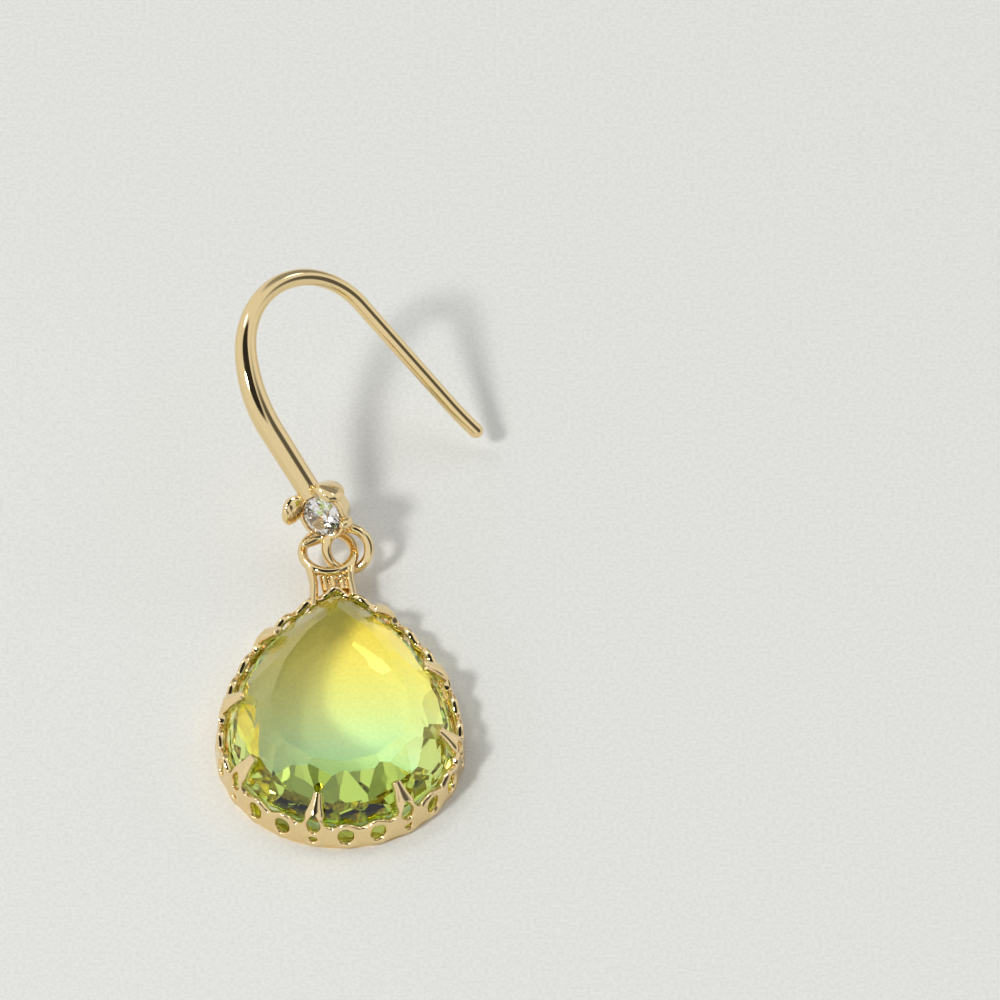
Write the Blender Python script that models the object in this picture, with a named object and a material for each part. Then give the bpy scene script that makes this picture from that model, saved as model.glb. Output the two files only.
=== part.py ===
"""Drop earring with a pear stone, lying face up on a flat surface.

Four pieces: the ear hook with its cast cup and eye ring, the small round stone
in the cup, the pierced pendant setting with its neck and ring, and the pear
stone. The two rings are linked. Sizes are in millimetres, and the finished meshes
are in metres, +Z up, standing on z = 0 with the middle of the box at x = y = 0.
"""

import math

import bmesh
import bpy
from mathutils import Euler, Matrix, Vector

MM = 0.001
WELD = 0.0005              # points nearer than this are one
SHARP_ANGLE = 35.0

# Pear stone of about 12 x 16 mm; heights are above the surface
STONE_WIDTH = 12.0
STONE_LENGTH = 15.7
SIDE_RATIO = 2.0           # long side arcs, in radii of the round end
CULET_HEIGHT = 0.22
CULET_PAST_CENTRE = 0.9    # from the round end's centre towards the point
PAVILION_DEPTH = 1.28
GIRDLE_EDGE = 0.18
CROWN_HEIGHT = 2.22
TABLE_INSET = 2.10
ROUND_MAINS = 3            # steps of main facets in each quarter of the round end
SIDE_MAIN_SHARES = (0.50, 0.77)
CROWN_MEET = 0.46          # share of the crown's height where its facets meet
PAVILION_MEET = 0.62       # the same, from the girdle down to the culet
GIRDLE_HEIGHT = CULET_HEIGHT + PAVILION_DEPTH
TABLE_HEIGHT = GIRDLE_HEIGHT + GIRDLE_EDGE + CROWN_HEIGHT

# Pierced wall of the setting
STONE_CLEARANCE = 0.16
WALL_THICKNESS = 0.40
WALL_LEAN = 5.0            # degrees inward
CELL_COUNT = 26
CLAW_CELLS = (0, 3, 6, 9, 12, 17, 20, 23)
PLAIN_CELLS = (13, 14)     # where the neck is soldered on
FIRST_CLAW_STEP = -0.9     # first claw, in cells from the middle of the round end
FOOT_LOW = 0.05
FOOT_HIGH = 0.22
HOLE_POST = 0.95           # metal between two holes
HOLE_FRAME = 0.44          # metal above and below a hole
SCALLOP_VALLEY = GIRDLE_HEIGHT + 0.12
SCALLOP_TOP = SCALLOP_VALLEY + 0.36
HOLE_HEIGHT = (FOOT_LOW + SCALLOP_TOP) / 2

# Claws that fold over the crown
BEND_START = GIRDLE_HEIGHT + 0.22
BEND_LENGTH = 0.50
CLAW_CLOSE = 2.5           # degrees by which a claw is steeper than the crown
CLAW_SHOULDER = SCALLOP_TOP + 0.04
CLAW_ROOT = CLAW_SHOULDER + 0.30
CLAW_RISE = 1.27           # from the root to the tip, along the claw
CLAW_ROWS = 4
CLAW_TIP_WIDTH = 0.26
CLAW_TIP_THICKNESS = 0.22
CLAW_RIDGE = 0.20
TEAR_LOW = HOLE_HEIGHT + 0.18
TEAR_HIGH = CLAW_SHOULDER + 0.08
TEAR_HALF_WIDTH = 0.27
TEAR_NARROWING = 0.75
FOOT_HOLE_RADIUS = 0.19
FOOT_HOLE_HEIGHT = (FOOT_HIGH + HOLE_HEIGHT) / 2

# Bearing rail inside the foot of the wall
RAIL_HEIGHT = 0.35
RAIL_INNER = 0.45          # how far it reaches inside the stone's outline
RAIL_IN_WALL = 0.20

# Neck and ring of the pendant
RING_RADIUS = 1.38
RING_WIRE = 0.48
RING_HEIGHT = GIRDLE_HEIGHT + 0.22
NECK_REACH = 0.79          # from the setting's point to the ring's wire
NECK_WIDTH = 2.5
NECK_END_WIDTH = 2.2
NECK_THICKNESS = 0.9
NECK_BEVEL = 0.2
NECK_DROP = 0.26           # middle of the neck below the ring's plane
NECK_DEPTH = 1.5           # how far it reaches back along the wall
NECK_LEAN = 8.0            # degrees by which neck and ring lean to the left
CAVITY_BELOW = 1.0         # depth below the surface of the cut that clears the stone
PENDANT_TURN = 1.2         # degrees about the upright axis

# Small stone in the cup
SMALL_RADIUS = 1.1
SMALL_TABLE = 0.56         # table's share of the radius
SMALL_CROWN = 0.36
SMALL_EDGE = 0.06
SMALL_PAVILION = 0.84
SMALL_MAINS = 8

# Cup, claws and eye ring, along the stone's axis and the wire's line
SEAT_CLEARANCE = 0.10
CUP_WALL = 0.22
CUP_BELOW_STONE = 0.45     # cup's floor below the small stone's culet
CUP_ROLL = 18.0            # degrees about the wire's line, towards the viewer
CUP_FOOT_RADIUS = 1.05
CUP_SHOULDER = 0.25        # height of the straight part below the girdle
CUP_RIM = 0.05
CUP_SIDES = 20
PRONG_OUT = 0.05           # sideways reach of a prong's tip past the cup
UPPER_PITCH = 0.70         # reach of the upper tips along the wire's line, in cup radii
LOWER_PITCH = 0.32         # the same, of the lower tips
PRONG_RISE = 0.90          # tips above the girdle
UPPER_WIDTH = 0.90
LOWER_WIDTH = 0.46
UPPER_THICKNESS = 0.62
LOWER_THICKNESS = 0.40
PRONG_ROOT_OUT = 0.17      # a prong's root off the wire's line, in its widths
PRONG_SIDES = 8
PRONG_SIZES = (0.72, 0.86, 0.96, 1.0, 0.98, 0.92, 0.78, 0.42)
SEAT_RADIUS = SMALL_RADIUS + SEAT_CLEARANCE
CUP_RADIUS = SEAT_RADIUS + CUP_WALL
CUP_DEPTH = SMALL_PAVILION + CUP_BELOW_STONE
EYE_RADIUS = 1.14
EYE_WIRE = 0.48
EYE_OVERLAP = 0.30         # depth of the eye's wire in the cup's side
EYE_BACK = 0.35
EYE_TURN = 60.0            # degrees from the cup's face round to the eye's plane

# Ear wire, as a chain of arcs in the hook's own plane
SHANK_LENGTH = 4.1
SHANK_HEADING = -36.5      # degrees from the hook's upright towards the tail
SHANK_BACK = 0.23          # wire's line behind the small stone's girdle
BOW_RADIUS = 7.5
BOW_TURN = 33.9
CROWN_RADIUS = 4.3
CROWN_TURN = 135.0
TAIL_LENGTH = 7.2
KICK_LENGTH = 2.2
KICK_TURN = -6.0
TIP_TURNS = (30.0, 60.0, 80.0)      # steps of the tip's rounding, in degrees
WIRE_SHARES = (0.0, 0.18, 0.45, 0.62, 1.0)
WIRE_WIDTHS = (1.28, 1.36, 0.98, 0.86, 0.80)
WIRE_STEP = 0.9
WIRE_SIDES = 12

# How the hook stands in the pendant's ring
LINK_REACH = (0.74, 0.015, 0.165)   # from the ring's centre to the eye's, in ring radii
HOOK_TILT = (30.7, 27.0, 16.7)
RING_SEGMENTS = 16
RING_SIDES = 6

GOLD = (0.83, 0.68, 0.40, 1.0)
CRYSTAL = (0.93, 0.94, 0.95, 1.0)
PERIDOT = (0.62, 0.80, 0.22, 1.0)


class Pear:
    """Pear outline: a round end at y = 0, two long side arcs and a point at +Y.

    Places are given by the direction of the outline's normal, in degrees from
    +X, from -90 at the round end through 90 at the point to 270 again.
    """

    def __init__(self, width, length, side_ratio):
        self.end = width / 2
        self.side = self.end * side_ratio
        self.length = length
        reach = length / self.end - 1
        sine = (2 * side_ratio - 1 - reach ** 2) / (2 * reach * (side_ratio - 1))
        self.joint = math.degrees(math.asin(sine))
        cosine = math.cos(math.radians(self.joint)) * (side_ratio - 1) / side_ratio
        self.point = math.degrees(math.acos(cosine))
        back = self.side - self.end
        self.side_x = -back * math.cos(math.radians(self.joint))
        self.side_y = self.end - back * math.sin(math.radians(self.joint))

    def at(self, angle, grow=0.0):
        """Point whose normal is at the angle, on the outline grown outward by grow."""
        if angle > 90.0:
            mirrored = self.at(180.0 - angle, grow)
            return Vector((-mirrored.x, mirrored.y))
        normal = Vector((math.cos(math.radians(angle)), math.sin(math.radians(angle))))
        last = math.degrees(math.acos(-self.side_x / (self.side + min(grow, 0.0))))
        if angle <= self.joint:
            return Vector((0.0, self.end)) + normal * (self.end + grow)
        if angle < last:
            return Vector((self.side_x, self.side_y)) + normal * (self.side + grow)
        if grow < 0.0:
            rise = math.sqrt((self.side + grow) ** 2 - self.side_x ** 2)
            return Vector((0.0, self.side_y + rise))
        return Vector((0.0, self.length)) + normal * grow

    def stretches(self, grow):
        """Arc lengths of half the grown outline: round end, side, point."""
        end = math.radians(90.0 + self.joint) * (self.end + grow)
        side = math.radians(self.point - self.joint) * (self.side + grow)
        tip = math.radians(90.0 - self.point) * grow
        return end, side, tip

    def half_length(self, grow):
        """Length of half the grown outline."""
        return sum(self.stretches(grow))

    def angle_at(self, distance, grow):
        """Normal's angle at a distance along the grown outline from the round end."""
        half = self.half_length(grow)
        distance = (distance + half) % (2 * half) - half
        end, side, tip = self.stretches(grow)
        along = abs(distance)
        if along <= end:
            angle = -90.0 + math.degrees(along / (self.end + grow))
        elif along <= end + side:
            angle = self.joint + math.degrees((along - end) / (self.side + grow))
        else:
            angle = self.point + math.degrees((along - end - side) / grow)
        return angle if distance >= 0.0 else 180.0 - angle


def remove_everything():
    """Start from an empty scene."""
    for item in list(bpy.data.objects):
        bpy.data.objects.remove(item, do_unlink=True)


def make_material(name, colour, roughness, metallic):
    """Plain material of a piece."""
    material = bpy.data.materials.new(name)
    material.use_nodes = True
    shader = material.node_tree.nodes["Principled BSDF"]
    shader.inputs["Base Color"].default_value = colour
    shader.inputs["Roughness"].default_value = roughness
    shader.inputs["Metallic"].default_value = metallic
    return material


def make_solid(name, points, faces):
    """Closed mesh object from points in millimetres."""
    mesh = bpy.data.meshes.new(name)
    mesh.from_pydata([tuple(point) for point in points], [], faces)
    work = bmesh.new()
    work.from_mesh(mesh)
    bmesh.ops.recalc_face_normals(work, faces=work.faces)
    work.to_mesh(mesh)
    work.free()
    solid = bpy.data.objects.new(name, mesh)
    bpy.context.scene.collection.objects.link(solid)
    return solid


def shade_round(piece):
    """Smooth shading with sharp edges kept."""
    piece.data.shade_smooth()
    piece.data.set_sharp_from_angle(angle=math.radians(SHARP_ANGLE))


def combine(base, other, operation="UNION"):
    """Apply a Boolean to base and remove the other solid."""
    modifier = base.modifiers.new("combine", "BOOLEAN")
    modifier.operation = operation
    modifier.object = other
    bpy.context.view_layer.update()
    evaluated = base.evaluated_get(bpy.context.evaluated_depsgraph_get())
    mesh = bpy.data.meshes.new_from_object(evaluated)
    work = bmesh.new()
    work.from_mesh(mesh)
    bmesh.ops.remove_doubles(work, verts=work.verts, dist=WELD)
    work.to_mesh(mesh)
    work.free()
    base.modifiers.clear()
    base.data = mesh
    bpy.data.objects.remove(other, do_unlink=True)


def skin_loops(loops, closed=False):
    """Points and faces that join loops of equal length, capped unless closed."""
    count = len(loops[0])
    points = [point for loop in loops for point in loop]
    faces = []
    rows = len(loops)
    for row in range(rows if closed else rows - 1):
        here = row * count
        above = (row + 1) % rows * count
        for k in range(count):
            after = (k + 1) % count
            faces.append((here + k, here + after, above + after, above + k))
    if not closed:
        faces.append(tuple(reversed(range(count))))
        faces.append(tuple(range((rows - 1) * count, rows * count)))
    return points, faces


def oval(centre, across, upright, half_width, half_height, sides):
    """Loop of points round a centre, spanned by two unit directions."""
    loop = []
    for k in range(sides):
        turn = math.tau * k / sides
        loop.append(centre + across * half_width * math.cos(turn)
                    + upright * half_height * math.sin(turn))
    return loop


def ring_solid(name, centre, normal, radius, wire, segments, sides):
    """Round wire ring about an axis."""
    normal = normal.normalized()
    first = normal.orthogonal().normalized()
    second = normal.cross(first)
    loops = []
    for k in range(segments):
        turn = math.tau * k / segments
        out = first * math.cos(turn) + second * math.sin(turn)
        loops.append(oval(centre + out * radius, out, normal, wire / 2, wire / 2, sides))
    return make_solid(name, *skin_loops(loops, closed=True))


def turned_solid(name, frame, profile, segments):
    """Solid turned about the frame's Z axis from (radius, height) pairs.

    The first and the last pair lie on the axis.
    """
    points = [frame @ Vector((0.0, 0.0, profile[0][1]))]
    for radius, height in profile[1:-1]:
        for k in range(segments):
            turn = math.tau * (k + 0.5) / segments
            points.append(frame @ Vector((radius * math.cos(turn), radius * math.sin(turn), height)))
    points.append(frame @ Vector((0.0, 0.0, profile[-1][1])))
    last = len(points) - 1
    rows = len(profile) - 2
    faces = []
    for k in range(segments):
        after = (k + 1) % segments
        faces.append((0, 1 + after, 1 + k))
        top = 1 + (rows - 1) * segments
        faces.append((last, top + k, top + after))
        for row in range(rows - 1):
            here = 1 + row * segments
            above = here + segments
            faces.append((here + k, here + after, above + after, above + k))
    return make_solid(name, points, faces)


def line_crossing(first, second):
    """Point where two lines meet, each given as (unit normal, distance)."""
    (a, first_distance), (b, second_distance) = first, second
    scale = a.x * b.y - a.y * b.x
    x = (first_distance * b.y - second_distance * a.y) / scale
    y = (a.x * second_distance - b.x * first_distance) / scale
    return Vector((x, y))


def cut_stone(name, mains, halves, culet, heights, meets):
    """Brilliant-cut stone with flat facets.

    Args:
        mains: (normal angle, girdle point, table point) of each main facet.
        halves: girdle point between each main facet and the next.
        culet: the pavilion's lowest point in plan.
        heights: culet, girdle's lower edge, girdle's upper edge, table.
        meets: shares of crown and pavilion where neighbouring facets meet.
    """
    count = len(mains)
    low, under, over, top = heights

    def meeting(k, share, target):
        lines = []
        for angle, girdle, table in (mains[k], mains[(k + 1) % count]):
            normal = Vector((math.cos(math.radians(angle)), math.sin(math.radians(angle))))
            goal = table if target is None else target
            lines.append((normal, normal.dot(girdle) * (1 - share) + normal.dot(goal) * share))
        return line_crossing(*lines)

    crown, pavilion = meets
    points = [(culet.x, culet.y, low)]
    deep = len(points)
    points += [(*meeting(k, pavilion, culet), under + (low - under) * pavilion) for k in range(count)]
    lower = len(points)
    rim = []
    for k in range(count):
        rim += [mains[k][1], halves[k]]
    points += [(*point, under) for point in rim]
    upper = len(points)
    points += [(*point, over) for point in rim]
    high = len(points)
    points += [(*meeting(k, crown, None), over + (top - over) * crown) for k in range(count)]
    table_start = len(points)
    points += [(*table, top) for _, _, table in mains]
    faces = [tuple(range(table_start, table_start + count))]
    for k in range(count):
        after = (k + 1) % count
        before = (k - 1) % count
        main, half, main_next = 2 * k, 2 * k + 1, 2 * after
        faces.append((table_start + k, high + k, table_start + after))
        faces.append((table_start + k, high + before, upper + main, high + k))
        faces.append((high + k, upper + main, upper + half))
        faces.append((high + k, upper + half, upper + main_next))
        faces.append((upper + main, lower + main, lower + half, upper + half))
        faces.append((upper + half, lower + half, lower + main_next, upper + main_next))
        faces.append((deep + k, lower + half, lower + main))
        faces.append((deep + k, lower + main_next, lower + half))
        faces.append((0, deep + k, lower + main, deep + before))
    return make_solid(name, points, faces)


def pear_stone(pear):
    """Faceted pear, its table and girdle following the same outline."""
    angles = [-90.0 + 90.0 * k / ROUND_MAINS for k in range(ROUND_MAINS + 1)]
    angles += [pear.point * share for share in SIDE_MAIN_SHARES]
    halves = [(a + b) / 2 for a, b in zip(angles, angles[1:])]
    halves.append((angles[-1] + pear.point) / 2)
    turns = angles + [90.0] + [180.0 - angle for angle in reversed(angles[1:])]
    between = halves + [180.0 - angle for angle in reversed(halves)]
    mains = [(turn, pear.at(turn), pear.at(turn, -TABLE_INSET)) for turn in turns]
    heights = (CULET_HEIGHT, GIRDLE_HEIGHT, GIRDLE_HEIGHT + GIRDLE_EDGE, TABLE_HEIGHT)
    culet = Vector((0.0, STONE_WIDTH / 2 + CULET_PAST_CENTRE))
    return cut_stone("pear_stone", mains, [pear.at(turn) for turn in between], culet, heights,
                     (CROWN_MEET, PAVILION_MEET))


def small_stone(frame):
    """Round brilliant that sits in the cup."""
    step = 360.0 / SMALL_MAINS

    def on_circle(turn, radius):
        return Vector((math.cos(math.radians(turn)), math.sin(math.radians(turn)))) * radius

    mains = []
    halves = []
    for k in range(SMALL_MAINS):
        turn = step * k
        mains.append((turn, on_circle(turn, SMALL_RADIUS), on_circle(turn, SMALL_TABLE * SMALL_RADIUS)))
        halves.append(on_circle(turn + step / 2, SMALL_RADIUS))
    heights = (-SMALL_PAVILION, 0.0, SMALL_EDGE, SMALL_EDGE + SMALL_CROWN)
    stone = cut_stone("hook_stone", mains, halves, Vector((0.0, 0.0)), heights,
                      (CROWN_MEET, PAVILION_MEET))
    stone.data.transform(frame)
    return stone


class PiercedWall:
    """Wall of the setting, drawn flat as a sheet and then wrapped and thickened.

    On the sheet u runs along the foot of the wall, in millimetres from the
    round end, and s runs up the wall and on over the crown.
    """

    def __init__(self, pear):
        self.pear = pear
        lean = math.sin(math.radians(WALL_LEAN)) * GIRDLE_HEIGHT
        self.foot_grow = STONE_CLEARANCE + WALL_THICKNESS + lean
        self.around = 2 * pear.half_length(self.foot_grow)
        self.pitch = self.around / CELL_COUNT
        self.crown_lean = math.atan2(TABLE_INSET, CROWN_HEIGHT) + math.radians(CLAW_CLOSE)
        self.claw_top = CLAW_ROOT + CLAW_RISE
        self.keys = {}
        self.spots = []
        self.faces = []

    def profile(self, s):
        """Inset, height and lean in radians of the outer face at s."""
        lean = math.radians(WALL_LEAN)
        straight = min(s, BEND_START)
        inset = straight * math.sin(lean)
        height = straight * math.cos(lean)
        bend = BEND_LENGTH / (self.crown_lean - lean)
        turned = lean + min(max(s - BEND_START, 0.0), BEND_LENGTH) / bend
        inset += bend * (math.cos(lean) - math.cos(turned))
        height += bend * (math.sin(turned) - math.sin(lean))
        beyond = max(s - BEND_START - BEND_LENGTH, 0.0)
        return inset + beyond * math.sin(turned), height + beyond * math.cos(turned), turned

    def thickness(self, s):
        """Thickness of the metal, which thins towards a claw's tip."""
        share = max(s - SCALLOP_TOP, 0.0) / (self.claw_top - SCALLOP_TOP)
        return WALL_THICKNESS + (CLAW_TIP_THICKNESS - WALL_THICKNESS) * share

    def place(self, u, s, depth):
        """Point in space at a depth below the outer face."""
        inset, height, lean = self.profile(s)
        grow = self.foot_grow - inset - depth * math.cos(lean)
        angle = self.pear.angle_at(u, self.foot_grow)
        plan = self.pear.at(angle, max(grow, 0.0))
        if grow < 0.0:
            plan += Vector((math.cos(math.radians(angle)), math.sin(math.radians(angle)))) * grow
        return Vector((plan.x, plan.y, height - depth * math.sin(lean)))

    def spot(self, u, s, ridge=0.0):
        """Index of a point of the sheet, made once."""
        key = (round(u % self.around, 4) % round(self.around, 4), round(s, 4))
        if key not in self.keys:
            self.keys[key] = len(self.spots)
            self.spots.append((u, s, ridge))
        return self.keys[key]

    def frame_hole(self, rim, hole):
        """Faces between a rim of spots and a hole of as many spots."""
        count = len(rim)
        for k in range(count):
            after = (k + 1) % count
            self.faces.append((rim[k], rim[after], hole[after], hole[k]))

    def oval_hole(self, centre, count, half_width, low, high, first=0.0, point=0.0):
        """Spots of a hole, counted upward from the first angle; point draws its top to a tear."""
        middle = (low + high) / 2
        spots = []
        for k in range(count):
            turn = first + math.tau * k / count
            narrow = 1.0 - point * max(math.sin(turn), 0.0)
            spots.append(self.spot(centre + half_width * math.cos(turn) * narrow,
                                   middle + (high - low) / 2 * math.sin(turn)))
        return spots

    def edge(self, centre, heights):
        """Spots at a quarter of a cell from each other, right to left."""
        return [self.spot(centre + self.pitch * (0.25 - 0.25 * k), height)
                for k, height in enumerate(heights)]

    def add_cell(self, index):
        """One scallop: pierced, plain, or with a claw."""
        centre = (index + FIRST_CLAW_STEP) * self.pitch
        half = self.pitch / 2
        right = [self.spot(centre + half, s) for s in (FOOT_HIGH, HOLE_HEIGHT, SCALLOP_VALLEY)]
        left = [self.spot(centre - half, s) for s in (SCALLOP_VALLEY, HOLE_HEIGHT, FOOT_HIGH)]
        shoulder = (SCALLOP_TOP + SCALLOP_VALLEY) / 2
        is_claw = index in CLAW_CELLS
        top = (CLAW_SHOULDER, CLAW_ROOT, CLAW_SHOULDER) if is_claw else (shoulder, SCALLOP_TOP, shoulder)
        above = self.edge(centre, top)
        foot = (FOOT_LOW + FOOT_HIGH) / 2
        below = list(reversed(self.edge(centre, (foot, FOOT_LOW, foot))))
        if is_claw:
            waist = self.edge(centre, (HOLE_HEIGHT,) * 3)
            upper = [right[1], right[2], *above, left[0], left[1], *reversed(waist)]
            start = -math.pi / len(upper)
            tear = self.oval_hole(centre, len(upper), TEAR_HALF_WIDTH, TEAR_LOW, TEAR_HIGH,
                                  start, TEAR_NARROWING)
            self.frame_hole(upper, tear)
            lower = [right[1], *waist, left[1], left[2], *below, right[0]]
            drop = self.oval_hole(centre, len(lower), FOOT_HOLE_RADIUS, FOOT_HOLE_HEIGHT - FOOT_HOLE_RADIUS,
                                  FOOT_HOLE_HEIGHT + FOOT_HOLE_RADIUS, -start)
            self.frame_hole(lower, drop)
            self.add_claw(centre, above)
            return
        rim = [right[1], right[2], *above, left[0], left[1], left[2], *below, right[0]]
        if index in PLAIN_CELLS:
            middle = self.spot(centre, HOLE_HEIGHT)
            for k, spot in enumerate(rim):
                self.faces.append((spot, rim[(k + 1) % len(rim)], middle))
            return
        hole = self.oval_hole(centre, len(rim), (self.pitch - HOLE_POST) / 2,
                              FOOT_LOW + HOLE_FRAME, SCALLOP_TOP - HOLE_FRAME)
        self.frame_hole(rim, hole)

    def add_claw(self, centre, root):
        """Ridged claw that narrows from the top of its cell to its tip."""
        before = root
        for row in range(1, CLAW_ROWS + 1):
            share = row / CLAW_ROWS
            half = self.pitch / 4 * (1 - share) + CLAW_TIP_WIDTH / 2
            side = CLAW_SHOULDER + (self.claw_top - CLAW_SHOULDER) * share
            middle = CLAW_ROOT + CLAW_RISE * share
            ridge = CLAW_RIDGE * (1 - share / 2)
            here = [self.spot(centre + half, side), self.spot(centre, middle, ridge),
                    self.spot(centre - half, side)]
            for k in (0, 1):
                self.faces.append((before[k], before[k + 1], here[k + 1], here[k]))
            before = here

    def build(self):
        """Wrap the sheet round the outline and give it its thickness."""
        for index in range(CELL_COUNT):
            self.add_cell(index)
        count = len(self.spots)
        points = [self.place(u, s, -ridge) for u, s, ridge in self.spots]
        points += [self.place(u, s, self.thickness(s)) for u, s, _ in self.spots]
        faces = list(self.faces)
        faces += [tuple(spot + count for spot in reversed(face)) for face in self.faces]
        uses = {}
        for face in self.faces:
            for a, b in zip(face, face[1:] + face[:1]):
                uses.setdefault(frozenset((a, b)), []).append((a, b))
        for edges in uses.values():
            if len(edges) == 1:
                a, b = edges[0]
                faces.append((b, a, a + count, b + count))
        return make_solid("pendant_setting", points, faces)


def pear_loop(pear, grow, height, count):
    """Loop of points on the grown outline at a height, evenly spaced."""
    step = 2 * pear.half_length(grow) / count
    loop = []
    for k in range(count):
        plan = pear.at(pear.angle_at(step * k, grow), grow)
        loop.append(Vector((plan.x, plan.y, height)))
    return loop


def bearing_rail(pear, wall):
    """Flat rail inside the wall's foot, which the pendant stands on."""
    outer = wall.foot_grow - RAIL_IN_WALL
    count = 2 * CELL_COUNT
    loops = []
    for grow, height in ((outer, 0.0), (outer, RAIL_HEIGHT), (-RAIL_INNER, RAIL_HEIGHT), (-RAIL_INNER, 0.0)):
        loop = []
        for k in range(count):
            angle = pear.angle_at(wall.around * k / count, wall.foot_grow)
            plan = pear.at(angle, grow)
            loop.append(Vector((plan.x, plan.y, height)))
        loops.append(loop)
    return make_solid("rail", *skin_loops(loops, closed=True))


def neck_lean():
    """Matrix that leans the neck and its ring about the stone's point."""
    pivot = Vector((0.0, STONE_LENGTH, 0.0))
    turn = Matrix.Rotation(math.radians(NECK_LEAN), 4, "Z")
    return Matrix.Translation(pivot) @ turn @ Matrix.Translation(-pivot)


def neck_block(pear, wall):
    """Tapered block from the setting's point to its ring, clear of the stone."""
    point = STONE_LENGTH + wall.foot_grow
    near = point + NECK_REACH
    loops = []
    for y, width in ((point - NECK_DEPTH, NECK_WIDTH), (point, NECK_WIDTH), (near, NECK_END_WIDTH)):
        loop = []
        for side, level in ((1, -1), (1, 1), (-1, 1), (-1, -1)):
            x = side * width / 2
            z = RING_HEIGHT - NECK_DROP + level * NECK_THICKNESS / 2
            flat = (x - side * NECK_BEVEL, z)
            upright = (x, z - level * NECK_BEVEL)
            pair = (upright, flat) if side == level else (flat, upright)
            loop += [Vector((a, y, b)) for a, b in pair]
        loops.append(loop)
    block = make_solid("neck", *skin_loops(loops))
    block.data.transform(neck_lean())
    inside = STONE_CLEARANCE + WALL_THICKNESS / 2
    cavity = [pear_loop(pear, inside, height, 4 * CELL_COUNT) for height in (-CAVITY_BELOW, TABLE_HEIGHT)]
    combine(block, make_solid("cavity", *skin_loops(cavity)), "DIFFERENCE")
    return block


def ring_place(wall):
    """Centre of the pendant's ring, from its round end."""
    reach = STONE_LENGTH + wall.foot_grow + NECK_REACH + RING_RADIUS
    return neck_lean() @ Vector((0.0, reach, RING_HEIGHT))


def pendant_setting(pear, wall):
    """Wall with its claws, rail, neck and ring, as one cast piece."""
    setting = wall.build()
    combine(setting, bearing_rail(pear, wall))
    combine(setting, neck_block(pear, wall))
    combine(setting, ring_solid("ring", ring_place(wall), Vector((0.0, 0.0, 1.0)), RING_RADIUS,
                                RING_WIRE, RING_SEGMENTS, RING_SIDES))
    return setting


def wire_stations(frame):
    """Places, headings and widths along the ear wire, from the cup to the tip."""
    heading = math.radians(SHANK_HEADING)
    place = frame @ Vector((0.0, SEAT_RADIUS, -SHANK_BACK))
    runs = ((SHANK_LENGTH, 0.0),
            (BOW_RADIUS * math.radians(BOW_TURN), BOW_TURN),
            (CROWN_RADIUS * math.radians(CROWN_TURN), CROWN_TURN),
            (TAIL_LENGTH, 0.0),
            (KICK_LENGTH, KICK_TURN))
    whole = sum(length for length, _ in runs)
    gone = 0.0
    stations = [(place, heading, wire_width(0.0))]
    for length, turn in runs:
        steps = math.ceil(length / WIRE_STEP)
        step = length / steps
        turn_step = math.radians(turn) / steps
        for _ in range(steps):
            heading += turn_step / 2
            place = place + Vector((math.sin(heading), math.cos(heading), 0.0)) * step
            heading += turn_step / 2
            gone += step
            stations.append((place, heading, wire_width(gone / whole)))
    return stations


def wire_width(share):
    """Width of the tapered wire at a share of its length."""
    for k in range(len(WIRE_SHARES) - 1):
        low, high = WIRE_SHARES[k], WIRE_SHARES[k + 1]
        if share <= high + 1e-9:
            part = (share - low) / (high - low)
            return WIRE_WIDTHS[k] + (WIRE_WIDTHS[k + 1] - WIRE_WIDTHS[k]) * part
    return WIRE_WIDTHS[-1]


def ear_wire(frame):
    """Tapered round wire with a rounded tip."""
    upright = Vector((0.0, 0.0, 1.0))
    stations = wire_stations(frame)
    place, heading, width = stations[-1]
    forward = Vector((math.sin(heading), math.cos(heading), 0.0))
    for turn in TIP_TURNS:
        reach = width / 2 * math.sin(math.radians(turn))
        stations.append((place + forward * reach, heading, width * math.cos(math.radians(turn))))
    loops = []
    for place, heading, width in stations:
        across = Vector((math.cos(heading), -math.sin(heading), 0.0))
        loops.append(oval(place, across, upright, width / 2, width / 2, WIRE_SIDES))
    return make_solid("ear_hook", *skin_loops(loops))


def prong(frame, side, end):
    """Leaf-shaped claw from one end of the cup, out to one side and up past the girdle."""
    reach = CUP_RADIUS + PRONG_OUT
    upper = (UPPER_PITCH, UPPER_WIDTH, UPPER_THICKNESS)
    pitch, width, thickness = upper if end > 0 else (LOWER_PITCH, LOWER_WIDTH, LOWER_THICKNESS)
    root = Vector((side * width * PRONG_ROOT_OUT, end * (CUP_RADIUS - CUP_WALL / 2), -CUP_DEPTH / 2))
    knee = Vector((side * reach, end * CUP_RADIUS * pitch, -CUP_DEPTH / 4))
    tip = Vector((side * reach, end * CUP_RADIUS * pitch, PRONG_RISE))
    loops = []
    for k, size in enumerate(PRONG_SIZES):
        share = k / (len(PRONG_SIZES) - 1)
        place = root * (1 - share) ** 2 + knee * 2 * share * (1 - share) + tip * share ** 2
        along = ((knee - root) * (1 - share) + (tip - knee) * share).normalized()
        outward = Vector((place.x, place.y, 0.0)).normalized()
        across = along.cross(outward).normalized()
        outward = across.cross(along)
        loops.append([frame @ point for point in
                      oval(place, across, outward, width / 2 * size, thickness / 2 * size, PRONG_SIDES)])
    return make_solid("prong", *skin_loops(loops))


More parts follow.
